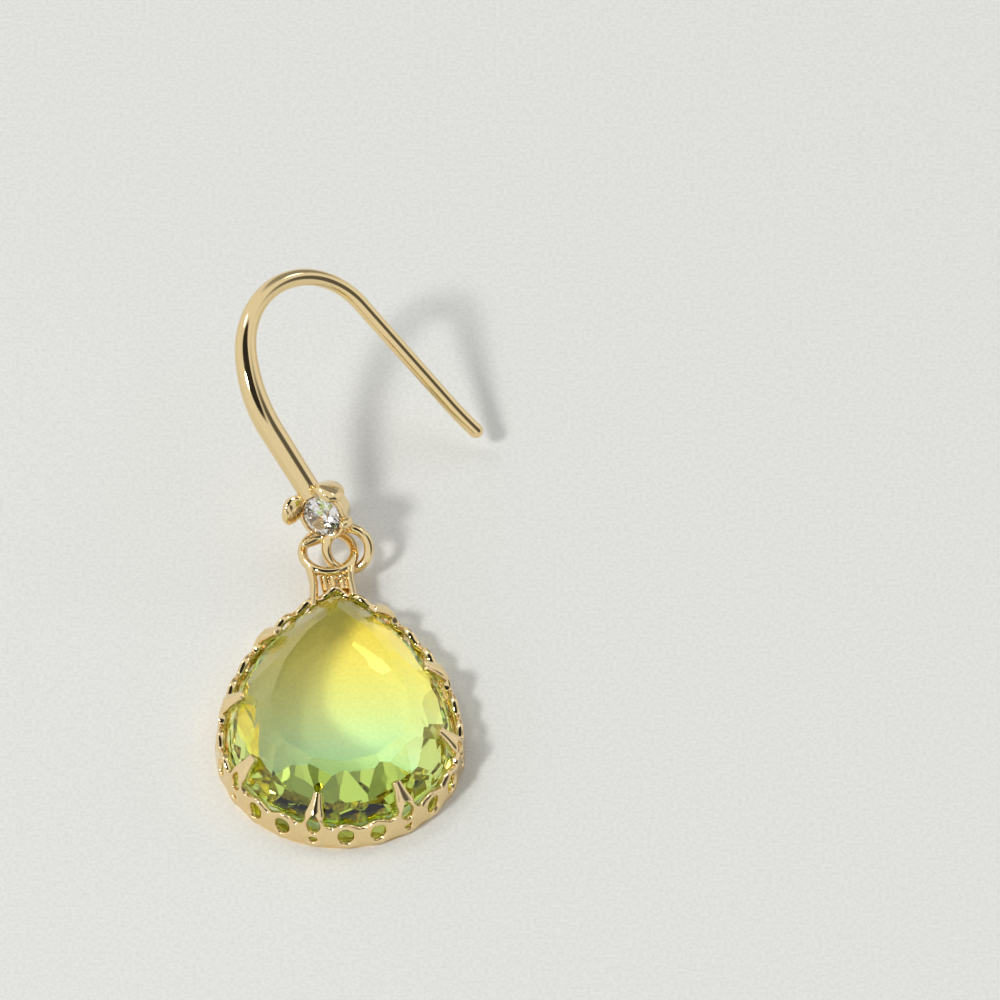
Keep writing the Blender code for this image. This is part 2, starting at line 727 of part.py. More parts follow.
def stone_room(frame):
    """Space of the small stone with its clearance, cut out of the cup and its claws."""
    top = SMALL_EDGE + SMALL_CROWN + SEAT_CLEARANCE
    profile = ((0.0, -SMALL_PAVILION - SEAT_CLEARANCE),
               (SEAT_CLEARANCE, -SMALL_PAVILION - SEAT_CLEARANCE),
               (SEAT_RADIUS, -SEAT_CLEARANCE),
               (SEAT_RADIUS, SMALL_EDGE + SEAT_CLEARANCE / 2),
               (SMALL_TABLE * SMALL_RADIUS + SEAT_CLEARANCE, top),
               (0.0, top))
    return turned_solid("room", frame, profile, CUP_SIDES)


def eye_place(frame):
    """Centre of the eye ring at the cup's lower end."""
    return frame @ Vector((0.0, EYE_OVERLAP - CUP_RADIUS - EYE_RADIUS, -EYE_BACK))


def ear_hook(frame):
    """Wire, cup, prongs and eye ring, cast and soldered into one piece."""
    hook = ear_wire(frame)
    profile = ((0.0, -CUP_DEPTH), (CUP_FOOT_RADIUS, -CUP_DEPTH), (CUP_RADIUS, -CUP_SHOULDER),
               (CUP_RADIUS, CUP_RIM), (0.0, CUP_RIM))
    combine(hook, turned_solid("cup", frame, profile, CUP_SIDES))
    for side in (-1, 1):
        for end in (-1, 1):
            combine(hook, prong(frame, side, end))
    turn = math.radians(EYE_TURN)
    normal = frame.to_3x3() @ Vector((math.cos(turn), 0.0, math.sin(turn)))
    combine(hook, ring_solid("eye", eye_place(frame), normal, EYE_RADIUS, EYE_WIRE,
                             RING_SEGMENTS, RING_SIDES))
    combine(hook, stone_room(frame), "DIFFERENCE")
    return hook


def cup_frame():
    """Frame of the cup in the hook's plane: X across, Y up the wire, Z out of the stone."""
    heading = math.radians(SHANK_HEADING)
    up = Vector((math.sin(heading), math.cos(heading), 0.0))
    across = Matrix.Rotation(math.radians(CUP_ROLL), 3, up) @ Vector((0.0, 0.0, 1.0))
    return Matrix((across, up, across.cross(up))).transposed().to_4x4()


def hook_place(wall, frame):
    """Where the hook's frame stands, so that its eye ring links with the pendant's ring."""
    turn = Matrix.Rotation(math.radians(PENDANT_TURN), 3, "Z")
    eye = turn @ ring_place(wall) + Vector(LINK_REACH) * RING_RADIUS
    tilt = Euler([math.radians(angle) for angle in HOOK_TILT]).to_matrix()
    return eye - tilt @ eye_place(frame)


def add_empty(name, parent=None, location=(0.0, 0.0, 0.0), turns=(0.0, 0.0, 0.0)):
    """Empty that carries pieces, placed in millimetres and degrees."""
    empty = bpy.data.objects.new(name, None)
    empty.parent = parent
    empty.location = Vector(location) * MM
    empty.rotation_euler = [math.radians(turn) for turn in turns]
    bpy.context.scene.collection.objects.link(empty)
    return empty


def stand_on_origin(stand, pieces):
    """Shift the stand so that the pieces' box stands on the origin by its middle."""
    bpy.context.view_layer.update()
    corners = [piece.matrix_world @ vertex.co for piece in pieces for vertex in piece.data.vertices]
    low = Vector([min(corner[axis] for corner in corners) for axis in range(3)])
    high = Vector([max(corner[axis] for corner in corners) for axis in range(3)])
    stand.location = Vector((-(low.x + high.x) / 2, -(low.y + high.y) / 2, -low.z))


def main():
    """Build the four pieces, dress them and set them on the origin."""
    remove_everything()
    pear = Pear(STONE_WIDTH, STONE_LENGTH, SIDE_RATIO)
    wall = PiercedWall(pear)
    frame = cup_frame()
    stand = add_empty("earring")
    pendant = add_empty("pendant", stand, turns=(0.0, 0.0, PENDANT_TURN))
    hook = add_empty("hook", stand, hook_place(wall, frame), HOOK_TILT)
    gold = make_material("gold_plate", GOLD, 0.14, 1.0)
    pieces = [(pendant_setting(pear, wall), gold, pendant),
              (pear_stone(pear), make_material("pear_crystal", PERIDOT, 0.03, 0.0), pendant),
              (ear_hook(frame), gold, hook),
              (small_stone(frame), make_material("clear_crystal", CRYSTAL, 0.02, 0.0), hook)]
    for piece, material, carrier in pieces:
        piece.data.transform(Matrix.Scale(MM, 4))
        piece.data.materials.clear()
        piece.data.materials.append(material)
        piece.parent = carrier
        if material is gold:
            shade_round(piece)
    stand_on_origin(stand, [piece for piece, _, _ in pieces])


main()
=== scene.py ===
"""Looks of a drop earring with a pear stone, lying face up on pale card in studio light.

Lengths are in millimetres until a mesh becomes an object, which turns them to metres, and
angles are in degrees. Each sub-assembly starts from the solids' own sizes, departs from them
where the photograph asks for it, and finds its place from the frame.
"""

import logging
import math
from dataclasses import dataclass, field
from enum import Enum
from typing import Any, Iterable, Sequence

import bmesh
import bpy
from mathutils import Euler, Matrix, Vector


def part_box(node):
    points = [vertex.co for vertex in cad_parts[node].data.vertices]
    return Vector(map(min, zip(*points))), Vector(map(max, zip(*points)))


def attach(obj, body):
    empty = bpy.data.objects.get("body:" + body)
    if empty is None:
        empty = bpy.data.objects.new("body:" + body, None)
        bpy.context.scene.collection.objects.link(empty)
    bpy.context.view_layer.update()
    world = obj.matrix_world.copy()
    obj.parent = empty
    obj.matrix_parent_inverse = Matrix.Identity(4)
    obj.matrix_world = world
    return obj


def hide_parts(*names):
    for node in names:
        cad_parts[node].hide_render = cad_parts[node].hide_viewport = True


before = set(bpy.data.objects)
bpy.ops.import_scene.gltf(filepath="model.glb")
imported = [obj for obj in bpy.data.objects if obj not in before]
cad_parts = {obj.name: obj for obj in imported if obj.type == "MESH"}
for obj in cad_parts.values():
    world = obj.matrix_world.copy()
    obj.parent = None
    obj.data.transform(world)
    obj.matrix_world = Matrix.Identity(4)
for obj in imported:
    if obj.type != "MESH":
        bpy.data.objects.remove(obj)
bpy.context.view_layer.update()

log = logging.getLogger("earring")

MM = 0.001
BODY = "root"
# Edges sharper than this stay crisp on plain pieces; a fused casting has none
CRISP_EDGE = 40.0
SOFT_EDGE = 60.0
NO_EDGE = 180.0

Colour = tuple[float, float, float, float]
Face = tuple[int, ...]
# Place, heading in radians and width of the ear wire
Station = tuple[Vector, float, float]


def linear(code: str) -> Colour:
    """Linear colour of an sRGB hex code.

    Args:
        code: six hex digits, such as "E2E2DE".

    Returns:
        Red, green, blue and an alpha of 1.
    """
    channels = []
    for start in (0, 2, 4):
        value = int(code[start:start + 2], 16) / 255
        # The sRGB curve is straight near black and a power above
        channels.append(value / 12.92 if value <= 0.04045 else ((value + 0.055) / 1.055) ** 2.4)
    return (channels[0], channels[1], channels[2], 1.0)


def bearing(angle: float) -> Vector:
    """Flat unit vector at an angle in degrees, counted from +X towards +Y."""
    return Vector((math.cos(math.radians(angle)), math.sin(math.radians(angle))))


def ahead(heading: float) -> Vector:
    """Level unit vector at a heading in radians, counted from +Y towards +X."""
    return Vector((math.sin(heading), math.cos(heading), 0.0))


def add_node(tree: bpy.types.NodeTree, kind: str, settings: dict[str, Any] | None = None,
             links: dict[str | int, bpy.types.NodeSocket] | None = None,
             **values: Any) -> bpy.types.Node:
    """Add a shader node.

    Args:
        tree: the material's node tree.
        kind: Blender's name of the node, without "ShaderNode".
        settings: values of input sockets by name or index.
        links: sockets that feed inputs, by the input's name or index.
        values: the node's own properties.

    Returns:
        The new node.
    """
    node = tree.nodes.new("ShaderNode" + kind)
    for key, value in values.items():
        setattr(node, key, value)
    for key, value in (settings or {}).items():
        node.inputs[key].default_value = value
    for key, source in (links or {}).items():
        tree.links.new(source, node.inputs[key])
    return node


def blank_material(name: str) -> bpy.types.Material:
    """Make a material with an empty node tree.

    Args:
        name: the material's name.

    Returns:
        The material.
    """
    material = bpy.data.materials.new(name)
    material.use_nodes = True
    material.node_tree.nodes.clear()
    return material


@dataclass
class Shell:
    """Closed or open mesh in millimetres, before it becomes an object."""

    points: list[Vector] = field(default_factory=list)
    faces: list[Face] = field(default_factory=list)

    def add(self, other: "Shell") -> "Shell":
        """Take in the points and faces of another shell.

        Args:
            other: the shell to take in.

        Returns:
            This shell.
        """
        shift = len(self.points)
        self.points += other.points
        self.faces += [tuple(index + shift for index in face) for face in other.faces]
        return self

    def placed(self, matrix: Matrix) -> "Shell":
        """Copy of the shell moved by a matrix."""
        return Shell([matrix @ point for point in self.points], list(self.faces))


def mesh_object(name: str, shell: Shell) -> bpy.types.Object:
    """Turn a shell into an object, its faces turned outward.

    Args:
        name: the object's name.
        shell: the shell in millimetres.

    Returns:
        The object, whose mesh is still in millimetres.
    """
    mesh = bpy.data.meshes.new(name)
    mesh.from_pydata([tuple(point) for point in shell.points], [], shell.faces)
    work = bmesh.new()
    work.from_mesh(mesh)
    bmesh.ops.recalc_face_normals(work, faces=work.faces)
    work.to_mesh(mesh)
    work.free()
    thing = bpy.data.objects.new(name, mesh)
    bpy.context.scene.collection.objects.link(thing)
    return thing


def bake_modifiers(thing: bpy.types.Object) -> None:
    """Apply all modifiers of an object.

    Args:
        thing: the object, whose mesh is replaced.
    """
    bpy.context.view_layer.update()
    evaluated = thing.evaluated_get(bpy.context.evaluated_depsgraph_get())
    mesh = bpy.data.meshes.new_from_object(evaluated)
    thing.modifiers.clear()
    thing.data = mesh


def round_off(thing: bpy.types.Object, levels: int) -> None:
    """Soften an object by Catmull-Clark subdivision, applied.

    Args:
        thing: the object.
        levels: how often each face is divided.
    """
    modifier = thing.modifiers.new("round", "SUBSURF")
    modifier.levels = levels
    modifier.render_levels = levels
    bake_modifiers(thing)


def melt_together(name: str, shells: Iterable[Shell], voxel: float, smoothing: int) -> bpy.types.Object:
    """Fuse overlapping closed shells into one skin with soft fillets, as casting does.

    Args:
        name: the object's name.
        shells: closed shells that overlap.
        voxel: size of a voxel in millimetres.
        smoothing: rounds of smoothing.

    Returns:
        The fused object, in millimetres.
    """
    whole = Shell()
    for shell in shells:
        whole.add(shell)
    thing = mesh_object(name, whole)
    remesh = thing.modifiers.new("fuse", "REMESH")
    remesh.mode = "VOXEL"
    remesh.voxel_size = voxel
    remesh.adaptivity = 0.0
    smooth = thing.modifiers.new("polish", "SMOOTH")
    smooth.factor = 0.5
    smooth.iterations = smoothing
    bake_modifiers(thing)
    return thing


def skin(loops: Sequence[Sequence[Vector]], closed: bool = False) -> Shell:
    """Join loops of equal length into a shell.

    Args:
        loops: the loops, one after another.
        closed: whether the last loop joins the first; otherwise both ends are capped.

    Returns:
        The shell.
    """
    count = len(loops[0])
    rows = len(loops)
    points = [point for loop in loops for point in loop]
    faces: list[Face] = []
    for row in range(rows if closed else rows - 1):
        here = row * count
        above = (row + 1) % rows * count
        for k in range(count):
            after = (k + 1) % count
            faces.append((here + k, here + after, above + after, above + k))
    if not closed:
        faces.append(tuple(reversed(range(count))))
        faces.append(tuple(range((rows - 1) * count, rows * count)))
    return Shell(points, faces)


def oval(centre: Vector, across: Vector, upright: Vector, half_width: float, half_height: float,
         sides: int) -> list[Vector]:
    """Loop of points round a centre.

    Args:
        centre: the loop's centre.
        across: unit direction of its width.
        upright: unit direction of its height.
        half_width: half its width.
        half_height: half its height.
        sides: how many points it has.

    Returns:
        The points, from the end of the width on.
    """
    loop = []
    for k in range(sides):
        turn = math.tau * k / sides
        loop.append(centre + across * half_width * math.cos(turn) + upright * half_height * math.sin(turn))
    return loop


def wire_ring(centre: Vector, normal: Vector, radius: float, wire: float, segments: int = 72,
              sides: int = 20) -> Shell:
    """Round wire ring about an axis.

    Args:
        centre: the ring's centre.
        normal: direction of its axis.
        radius: radius of the wire's middle line.
        wire: thickness of the wire.
        segments: steps round the ring.
        sides: sides of the wire.

    Returns:
        The ring.
    """
    normal = normal.normalized()
    first = normal.orthogonal().normalized()
    second = normal.cross(first)
    loops = []
    for k in range(segments):
        turn = math.tau * k / segments
        out = first * math.cos(turn) + second * math.sin(turn)
        loops.append(oval(centre + out * radius, out, normal, wire / 2, wire / 2, sides))
    return skin(loops, closed=True)


def turned(matrix: Matrix, profile: Sequence[tuple[float, float]], sides: int) -> Shell:
    """Shell turned about the matrix's Z axis.

    Args:
        matrix: where the shell stands.
        profile: pairs of radius and height, all off the axis.
        sides: steps round the axis.

    Returns:
        The shell, capped at both ends of the profile.
    """
    loops = []
    for radius, height in profile:
        loops.append([matrix @ Vector((radius * math.cos(math.tau * k / sides),
                                       radius * math.sin(math.tau * k / sides), height))
                      for k in range(sides)])
    return skin(loops)


def ease(value: float) -> float:
    """Smooth step from 0 to 1."""
    value = min(max(value, 0.0), 1.0)
    return value * value * (3 - 2 * value)


def table_value(places: Sequence[float], sizes: Sequence[float], place: float) -> float:
    """Read a short table, eased between its entries.

    Args:
        places: the entries' places, rising.
        sizes: a size for each place.
        place: where the table is read.

    Returns:
        The size there.
    """
    for k in range(len(places) - 1):
        if place <= places[k + 1]:
            share = (place - places[k]) / (places[k + 1] - places[k])
            return sizes[k] + (sizes[k + 1] - sizes[k]) * ease(share)
    return sizes[-1]


@dataclass(frozen=True)
class GoldPlate:
    """High-polish pale gold plate over silver."""

    # Pale champagne gold: the warm body colour of the wire and of the setting
    colour: str = "F0D7A3"
    # A polished plate mirrors its surroundings almost sharply
    roughness_low: float = 0.045
    roughness_high: float = 0.11
    # Buffing leaves soft waves a little under a millimetre wide
    wave_mm: float = 0.9
    wave_depth_mm: float = 0.0022
    wave_detail: float = 1.0
    wave_strength: float = 0.5
    # Handling haze, in blotches of about a third of a millimetre
    haze_mm: float = 0.35
    haze_detail: float = 3.0
    haze_from: float = 0.35
    haze_to: float = 0.7

    def build(self, name: str) -> bpy.types.Material:
        """Make the material.

        Args:
            name: the material's name.

        Returns:
            The material.
        """
        material = blank_material(name)
        tree = material.node_tree
        place = add_node(tree, "TexCoord").outputs["Object"]
        haze = add_node(tree, "TexNoise", {"Scale": 1 / (self.haze_mm * MM), "Detail": self.haze_detail},
                        {"Vector": place})
        rough = add_node(tree, "MapRange", {"From Min": self.haze_from, "From Max": self.haze_to,
                                            "To Min": self.roughness_low,
                                            "To Max": self.roughness_high},
                         {"Value": haze.outputs["Fac"]})
        wave = add_node(tree, "TexNoise", {"Scale": 1 / (self.wave_mm * MM), "Detail": self.wave_detail},
                        {"Vector": place})
        bump = add_node(tree, "Bump", {"Strength": self.wave_strength,
                                       "Distance": self.wave_depth_mm * MM},
                        {"Height": wave.outputs["Fac"]})
        shader = add_node(tree, "BsdfPrincipled", {"Base Color": linear(self.colour), "Metallic": 1.0},
                          {"Roughness": rough.outputs["Result"], "Normal": bump.outputs["Normal"]})
        add_node(tree, "OutputMaterial", links={"Surface": shader.outputs["BSDF"]})
        return material


@dataclass(frozen=True)
class GradientCrystal:
    """Cut crystal glass dyed from yellow at the point through pale aqua to lime at the round end."""

    low_y: float
    high_y: float
    # Stops along the stone, from the round end to the point
    stops: tuple[tuple[float, str], ...] = (
        (0.0, "CAF4A0"), (0.11, "D2FAC0"), (0.20, "E6FFF6"), (0.34, "F3FBE6"), (0.50, "FAF6D0"),
        (0.70, "FFF1AE"), (1.0, "FFEC8A"))
    # The dye's depth: light with a long way through the glass turns lime
    body: str = "E8F890"
    density_per_m: float = 75.0
    # Lead crystal bends light a little more than window glass
    ior: float = 1.58
    # The slanted facets turn the light aside, so little of it gets straight through them
    slanted_share: float = 0.16
    # The level facets gather what the slanted ones turn aside
    level_share: float = 1.22
    # How far upright a facet's normal stands on slanted facets at most, and on level ones
    slanted_below: float = 0.90
    level_above: float = 0.96

    def build(self, name: str) -> bpy.types.Material:
        """Make the material.

        Args:
            name: the material's name.

        Returns:
            The material.
        """
        material = blank_material(name)
        tree = material.node_tree
        coordinates = add_node(tree, "TexCoord")
        axes = add_node(tree, "SeparateXYZ", links={"Vector": coordinates.outputs["Object"]})
        facing = add_node(tree, "SeparateXYZ", links={"Vector": coordinates.outputs["Normal"]})
        level = add_node(tree, "Math", links={0: facing.outputs["Z"]}, operation="ABSOLUTE")
        through = add_node(tree, "MapRange", {"From Min": self.slanted_below,
                                              "From Max": self.level_above,
                                              "To Min": self.slanted_share,
                                              "To Max": self.level_share},
                           {"Value": level.outputs["Value"]})
        along = add_node(tree, "MapRange", {"From Min": self.low_y, "From Max": self.high_y},
                         {"Value": axes.outputs["Y"]})
        ramp = add_node(tree, "ValToRGB", links={"Fac": along.outputs["Result"]})
        band = ramp.color_ramp
        first, *between, last = self.stops
        for index, (position, code) in enumerate((first, last)):
            band.elements[index].position = position
            band.elements[index].color = linear(code)
        for position, code in between:
            band.elements.new(position).color = linear(code)
        glass = add_node(tree, "BsdfPrincipled", {"Roughness": 0.0, "IOR": self.ior,
                                                  "Transmission Weight": 1.0},
                         {"Base Color": ramp.outputs["Color"]})
        dimmed = add_node(tree, "VectorMath", links={0: ramp.outputs["Color"],
                                                     "Scale": through.outputs["Result"]},
                          operation="SCALE")
        clear = add_node(tree, "BsdfTransparent", links={"Color": dimmed.outputs["Vector"]})
        path = add_node(tree, "LightPath")
        mix = add_node(tree, "MixShader", links={0: path.outputs["Is Shadow Ray"],
                                                 1: glass.outputs["BSDF"], 2: clear.outputs["BSDF"]})
        depth = add_node(tree, "VolumeAbsorption", {"Color": linear(self.body),
                                                    "Density": self.density_per_m})
        add_node(tree, "OutputMaterial", links={"Surface": mix.outputs["Shader"],
                                                "Volume": depth.outputs["Volume"]})
        return material


@dataclass(frozen=True)
class ClearCrystal:
    """Colourless cubic zirconia."""

    # A faint cool grey, so that its facets part from each other
    colour: str = "F6F6F8"
    # Zirconia's strong bending of light gives the small stone its hard sparkle
    ior: float = 2.0

    def build(self, name: str) -> bpy.types.Material:
        """Make the material.

        Args:
            name: the material's name.

        Returns:
            The material.
        """
        material = blank_material(name)
        tree = material.node_tree
        glass = add_node(tree, "BsdfPrincipled", {"Base Color": linear(self.colour), "Roughness": 0.0,
                                                  "IOR": self.ior, "Transmission Weight": 1.0})
        clear = add_node(tree, "BsdfTransparent", {"Color": linear(self.colour)})
        path = add_node(tree, "LightPath")
        mix = add_node(tree, "MixShader", links={0: path.outputs["Is Shadow Ray"],
                                                 1: glass.outputs["BSDF"], 2: clear.outputs["BSDF"]})
        add_node(tree, "OutputMaterial", links={"Surface": mix.outputs["Shader"]})
        return material


@dataclass(frozen=True)
class PaleCard:
    """Matt pale card that the earring lies on."""

    # Pale grey card, very nearly neutral
    colour: str = "E8E9E6"
    # Painted shade: the low spots of the paper's tooth are painted a little darker, as shade between the
    # fibres
    hollow_shade: str = "E0E1DE"
    hollow_shade_below: float = 0.35
    fibre_above: float = 0.60
    # Paper tooth of about a fifth of a millimetre
    tooth_mm: float = 0.20
    tooth_depth_mm: float = 0.005
    tooth_detail: float = 3.0
    tooth_strength: float = 0.7
    # Uncoated paper scatters the light and hardly shines
    roughness: float = 0.9
    shine: float = 0.1

    def build(self, name: str) -> bpy.types.Material:
        """Make the material.

        Args:
            name: the material's name.

        Returns:
            The material.
        """
        material = blank_material(name)
        tree = material.node_tree
        place = add_node(tree, "TexCoord").outputs["Object"]
        tooth = add_node(tree, "TexNoise", {"Scale": 1 / (self.tooth_mm * MM),
                                            "Detail": self.tooth_detail}, {"Vector": place})
        # The tooth's low spots take the darker colour, painted shade in the paper's hollows; the high spots
        # take the card's own colour
        tone = add_node(tree, "ValToRGB", links={"Fac": tooth.outputs["Fac"]})
        tones = ((self.hollow_shade_below, self.hollow_shade), (self.fibre_above, self.colour))
        for index, (position, code) in enumerate(tones):
            tone.color_ramp.elements[index].position = position
            tone.color_ramp.elements[index].color = linear(code)
        bump = add_node(tree, "Bump", {"Strength": self.tooth_strength,
                                       "Distance": self.tooth_depth_mm * MM},
                        {"Height": tooth.outputs["Fac"]})
        shader = add_node(tree, "BsdfPrincipled", {"Roughness": self.roughness,
                                                   "Specular IOR Level": self.shine},
                          {"Base Color": tone.outputs["Color"], "Normal": bump.outputs["Normal"]})
        add_node(tree, "OutputMaterial", links={"Surface": shader.outputs["BSDF"]})
        return material


class Slot(Enum):
    """Material slots that the pieces carry."""

    GOLD = "gold_plate"
    CLEAR = "clear_crystal"
    GREEN = "green_crystal"


@dataclass
class PearOutline:
    """Pear outline: a round end at y = 0, two long side arcs and a point at +Y.

    Places are given by the direction of the outline's normal, in degrees from +X, from -90 at
    the round end through 90 at the point to 270 again.
    """

    width: float = 12.0
    length: float = 15.7
    # Radius of the side arcs, in radii of the round end
    side_ratio: float = 2.0

    def __post_init__(self) -> None:
        """Work out the arcs' radii, centres and joints."""
        self.end = self.width / 2
        self.side = self.end * self.side_ratio
        reach = self.length / self.end - 1
        sine = (2 * self.side_ratio - 1 - reach ** 2) / (2 * reach * (self.side_ratio - 1))
        self.joint = math.degrees(math.asin(sine))
        cosine = math.cos(math.radians(self.joint)) * (self.side_ratio - 1) / self.side_ratio
        self.point = math.degrees(math.acos(cosine))
        back = self.side - self.end
        self.side_x = -back * math.cos(math.radians(self.joint))
        self.side_y = self.end - back * math.sin(math.radians(self.joint))

    def at(self, angle: float, grow: float = 0.0) -> Vector:
        """Point of the outline whose normal is at an angle.

        Args:
            angle: the normal's direction.
            grow: how far the outline is grown outward; below 0 it is drawn in.

        Returns:
            The flat point.
        """
        if angle > 90.0:
            mirrored = self.at(180.0 - angle, grow)
            return Vector((-mirrored.x, mirrored.y))
        normal = bearing(angle)
        last = math.degrees(math.acos(-self.side_x / (self.side + min(grow, 0.0))))
        if angle <= self.joint:
            return Vector((0.0, self.end)) + normal * (self.end + grow)
        if angle < last:
            return Vector((self.side_x, self.side_y)) + normal * (self.side + grow)
        if grow < 0.0:
            rise = math.sqrt((self.side + grow) ** 2 - self.side_x ** 2)
            return Vector((0.0, self.side_y + rise))
        return Vector((0.0, self.length)) + normal * grow

    def stretches(self, grow: float) -> tuple[float, float, float]:
        """Arc lengths of half the grown outline.

        Args:
            grow: how far the outline is grown outward.

        Returns:
            The lengths of the round end, the side and the rounded point.
        """
        end = math.radians(90.0 + self.joint) * (self.end + grow)
        side = math.radians(self.point - self.joint) * (self.side + grow)
        tip = math.radians(90.0 - self.point) * grow
        return end, side, tip

    def half_length(self, grow: float) -> float:
        """Length of half the grown outline."""
        return sum(self.stretches(grow))

    def angle_at(self, distance: float, grow: float) -> float:
        """Normal's angle at a distance along the grown outline.

        Args:
            distance: distance from the round end.
            grow: how far the outline is grown outward.

        Returns:
            The angle.
        """
        half = self.half_length(grow)
        distance = (distance + half) % (2 * half) - half
        end, side, tip = self.stretches(grow)
        along = abs(distance)
        if along <= end:
            angle = -90.0 + math.degrees(along / (self.end + grow))
        elif along <= end + side:
            angle = self.joint + math.degrees((along - end) / (self.side + grow))
        else:
            angle = self.point + math.degrees((along - end - side) / grow)
        return angle if distance >= 0.0 else 180.0 - angle


@dataclass
class Piece:
    """A finished piece and how it stands in the frame."""

    thing: bpy.types.Object
    material: bpy.types.Material
    slot: Slot
    replaces: tuple[str, ...] = ()
    sharp_degrees: float = CRISP_EDGE
    faceted: bool = False

    def install(self) -> None:
        """Scale to metres, shade, dress and join the frame."""
        self.thing.data.transform(Matrix.Scale(MM, 4))
        if not self.faceted:
            self.thing.data.shade_smooth()
            self.thing.data.set_sharp_from_angle(angle=math.radians(self.sharp_degrees))
        self.thing.data.materials.clear()
        self.thing.data.materials.append(self.material)
        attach(self.thing, BODY)
        if self.replaces:
            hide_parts(*self.replaces)
        log.info("%s: %d faces", self.thing.name, len(self.thing.data.polygons))


@dataclass
class Pendant:
    """Pierced setting with its claws, rail, neck and ring.

    The wall is drawn as a flat sheet, with u along the foot from the round end and s up the
    outer face, and is then wrapped round the stone.
    """

    pear: PearOutline = field(default_factory=PearOutline)
    turn: float = 1.2
    stone_clearance: float = 0.16
    girdle_height: float = 1.50
    crown_height: float = 2.22
    table_inset: float = 2.10
    culet: tuple[float, float, float] = (0.0, 6.9, 0.22)
    wall: float = 0.40
    # The smooth skin keeps this far inside the flat-sided solid
    inside: float = 0.022
    wall_lean: float = 5.0
    # Scallops round the wall, the ones with a claw, and the unpierced ones under the neck
    cells: int = 26
    claw_cells: tuple[int, ...] = (0, 3, 6, 9, 12, 17, 20, 23)
    plain_cells: tuple[int, ...] = (13, 14)
    first_step: float = -0.9
    foot_low: float = 0.05
    foot_high: float = 0.32
    # Heights from the girdle: the scallops' valleys and tops, and where the claws bend in
    valley_drop: float = 0.12
    scallop_rise: float = 0.48
    bend_rise: float = 0.22
    # How high on its flanks a scallop's edge still is, as a share of its rise
    scallop_slope: float = 0.72
    hole_post: float = 0.95
    hole_frame: float = 0.44
    bend_length: float = 0.50
    # A claw: its shoulders over the scallops, its root over them, and its length
    shoulder_rise: float = 0.04
    claw_foot: float = 0.30
    claw_close: float = 2.5
    claw_rise: float = 1.27
    claw_rows: int = 6
    claw_tip_width: float = 0.66
    claw_tip_thickness: float = 0.30
    # Its ridge: height, start below the shoulder, how fast it swells and how much it fades
    claw_ridge: float = 0.26
    ridge_lead: float = 0.5
    ridge_swell: float = 2.5
    ridge_fade: float = 0.4
    # The last row comes just under the tip, so that the tip stays blunt
    claw_last_row: float = 0.91
    # The tear-shaped opening under a claw, kept off the waist and off the crotch
    crotch_rise: float = 0.32
    tear_half_width: float = 0.40
    tear_narrowing: float = 0.55
    tear_over_waist: float = 0.10
    tear_under_root: float = 0.20
    foot_hole_radius: float = 0.19
    # Rounds of softening, for the flat sheet and for the thickened wall
    sheet_rounds: int = 1
    wall_rounds: int = 2
    rail_height: float = 0.35
    rail_inner: float = 0.45
    rail_in_wall: float = 0.20
    rail_edge: float = 0.05
    rail_steps_per_cell: int = 4
    ring_radius: float = 1.38
    ring_wire: float = 0.54
    ring_rise: float = 0.22
    neck_reach: float = 0.79
    neck_thickness: float = 0.9
    neck_drop: float = 0.26
    neck_lean: float = 8.0
    neck_sides: int = 20
    # The neck's two side bars: share of their way, distance from the middle, rise
    bar_stations: tuple[tuple[float, float, float], ...] = (
        (0.0, 1.12, 0.0), (0.43, 1.0, 0.0), (0.64, 0.98, 0.04), (0.80, 1.04, 0.12),
        (0.93, 1.12, 0.22), (1.0, 1.17, 0.26))
    # The bars start inside the wall, the right one further up, and end on the ring
    bar_start: float = -1.24
    bar_stagger: float = 0.22
    bar_shift: float = 0.28
    bar_on_ring: float = 0.58
    bar_half_width: float = 0.24
    # Half the height that a bar loses for each millimetre that it rises
    bar_thinning: float = 0.8
    # The ribs of the channel between them: distance from the middle, drop, half width
    ribs: tuple[tuple[float, float, float], ...] = (
        (0.0, 0.10, 0.30), (-0.46, 0.16, 0.24), (0.46, 0.16, 0.24))
    rib_start: float = 0.30
    rib_on_ring: float = 0.42
    rib_spread: float = 0.1
    rib_lower: float = 0.12
    neck_voxel: float = 0.04
    neck_rounds: int = 4

    def __post_init__(self) -> None:
        """Work out the heights along the wall and where the pendant stands."""
        pivot = Matrix.Translation((0.0, self.pear.length, 0.0))
        self.leaning = pivot @ Matrix.Rotation(math.radians(self.neck_lean), 4, "Z") @ pivot.inverted()
        lean = math.sin(math.radians(self.wall_lean)) * self.girdle_height
        self.foot_grow = self.stone_clearance + self.wall + lean - self.inside
        self.around = 2 * self.pear.half_length(self.foot_grow)
        self.pitch = self.around / self.cells
        self.valley = self.girdle_height - self.valley_drop
        self.scallop = self.girdle_height + self.scallop_rise
        self.hole_height = (self.foot_low + self.scallop) / 2
        self.bend_start = self.girdle_height + self.bend_rise
        self.shoulder = self.scallop + self.shoulder_rise
        self.root = self.shoulder + self.claw_foot + self.crotch_rise
        self.claw_top = self.shoulder + self.claw_foot + self.claw_rise
        self.crown_lean = math.atan2(self.table_inset, self.crown_height) + math.radians(self.claw_close)
        self.ring_height = self.girdle_height + self.ring_rise
        self.turning = Matrix.Rotation(math.radians(self.turn), 4, "Z")
        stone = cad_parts["pear_stone"]
        lowest = min((vertex.co for vertex in stone.data.vertices), key=lambda spot: spot.z)
        self.place = Matrix.Translation(lowest / MM - self.turning @ Vector(self.culet)) @ self.turning
        self.keys: dict[tuple[float, float], int] = {}
        self.spots: list[tuple[float, float]] = []
        self.sheet: list[Face] = []

    def ring_centre(self) -> Vector:
        """Centre of the pendant's ring, from its round end."""
        reach = self.pear.length + self.foot_grow + self.inside + self.neck_reach + self.ring_radius
        return self.leaning @ Vector((0.0, reach, self.ring_height))

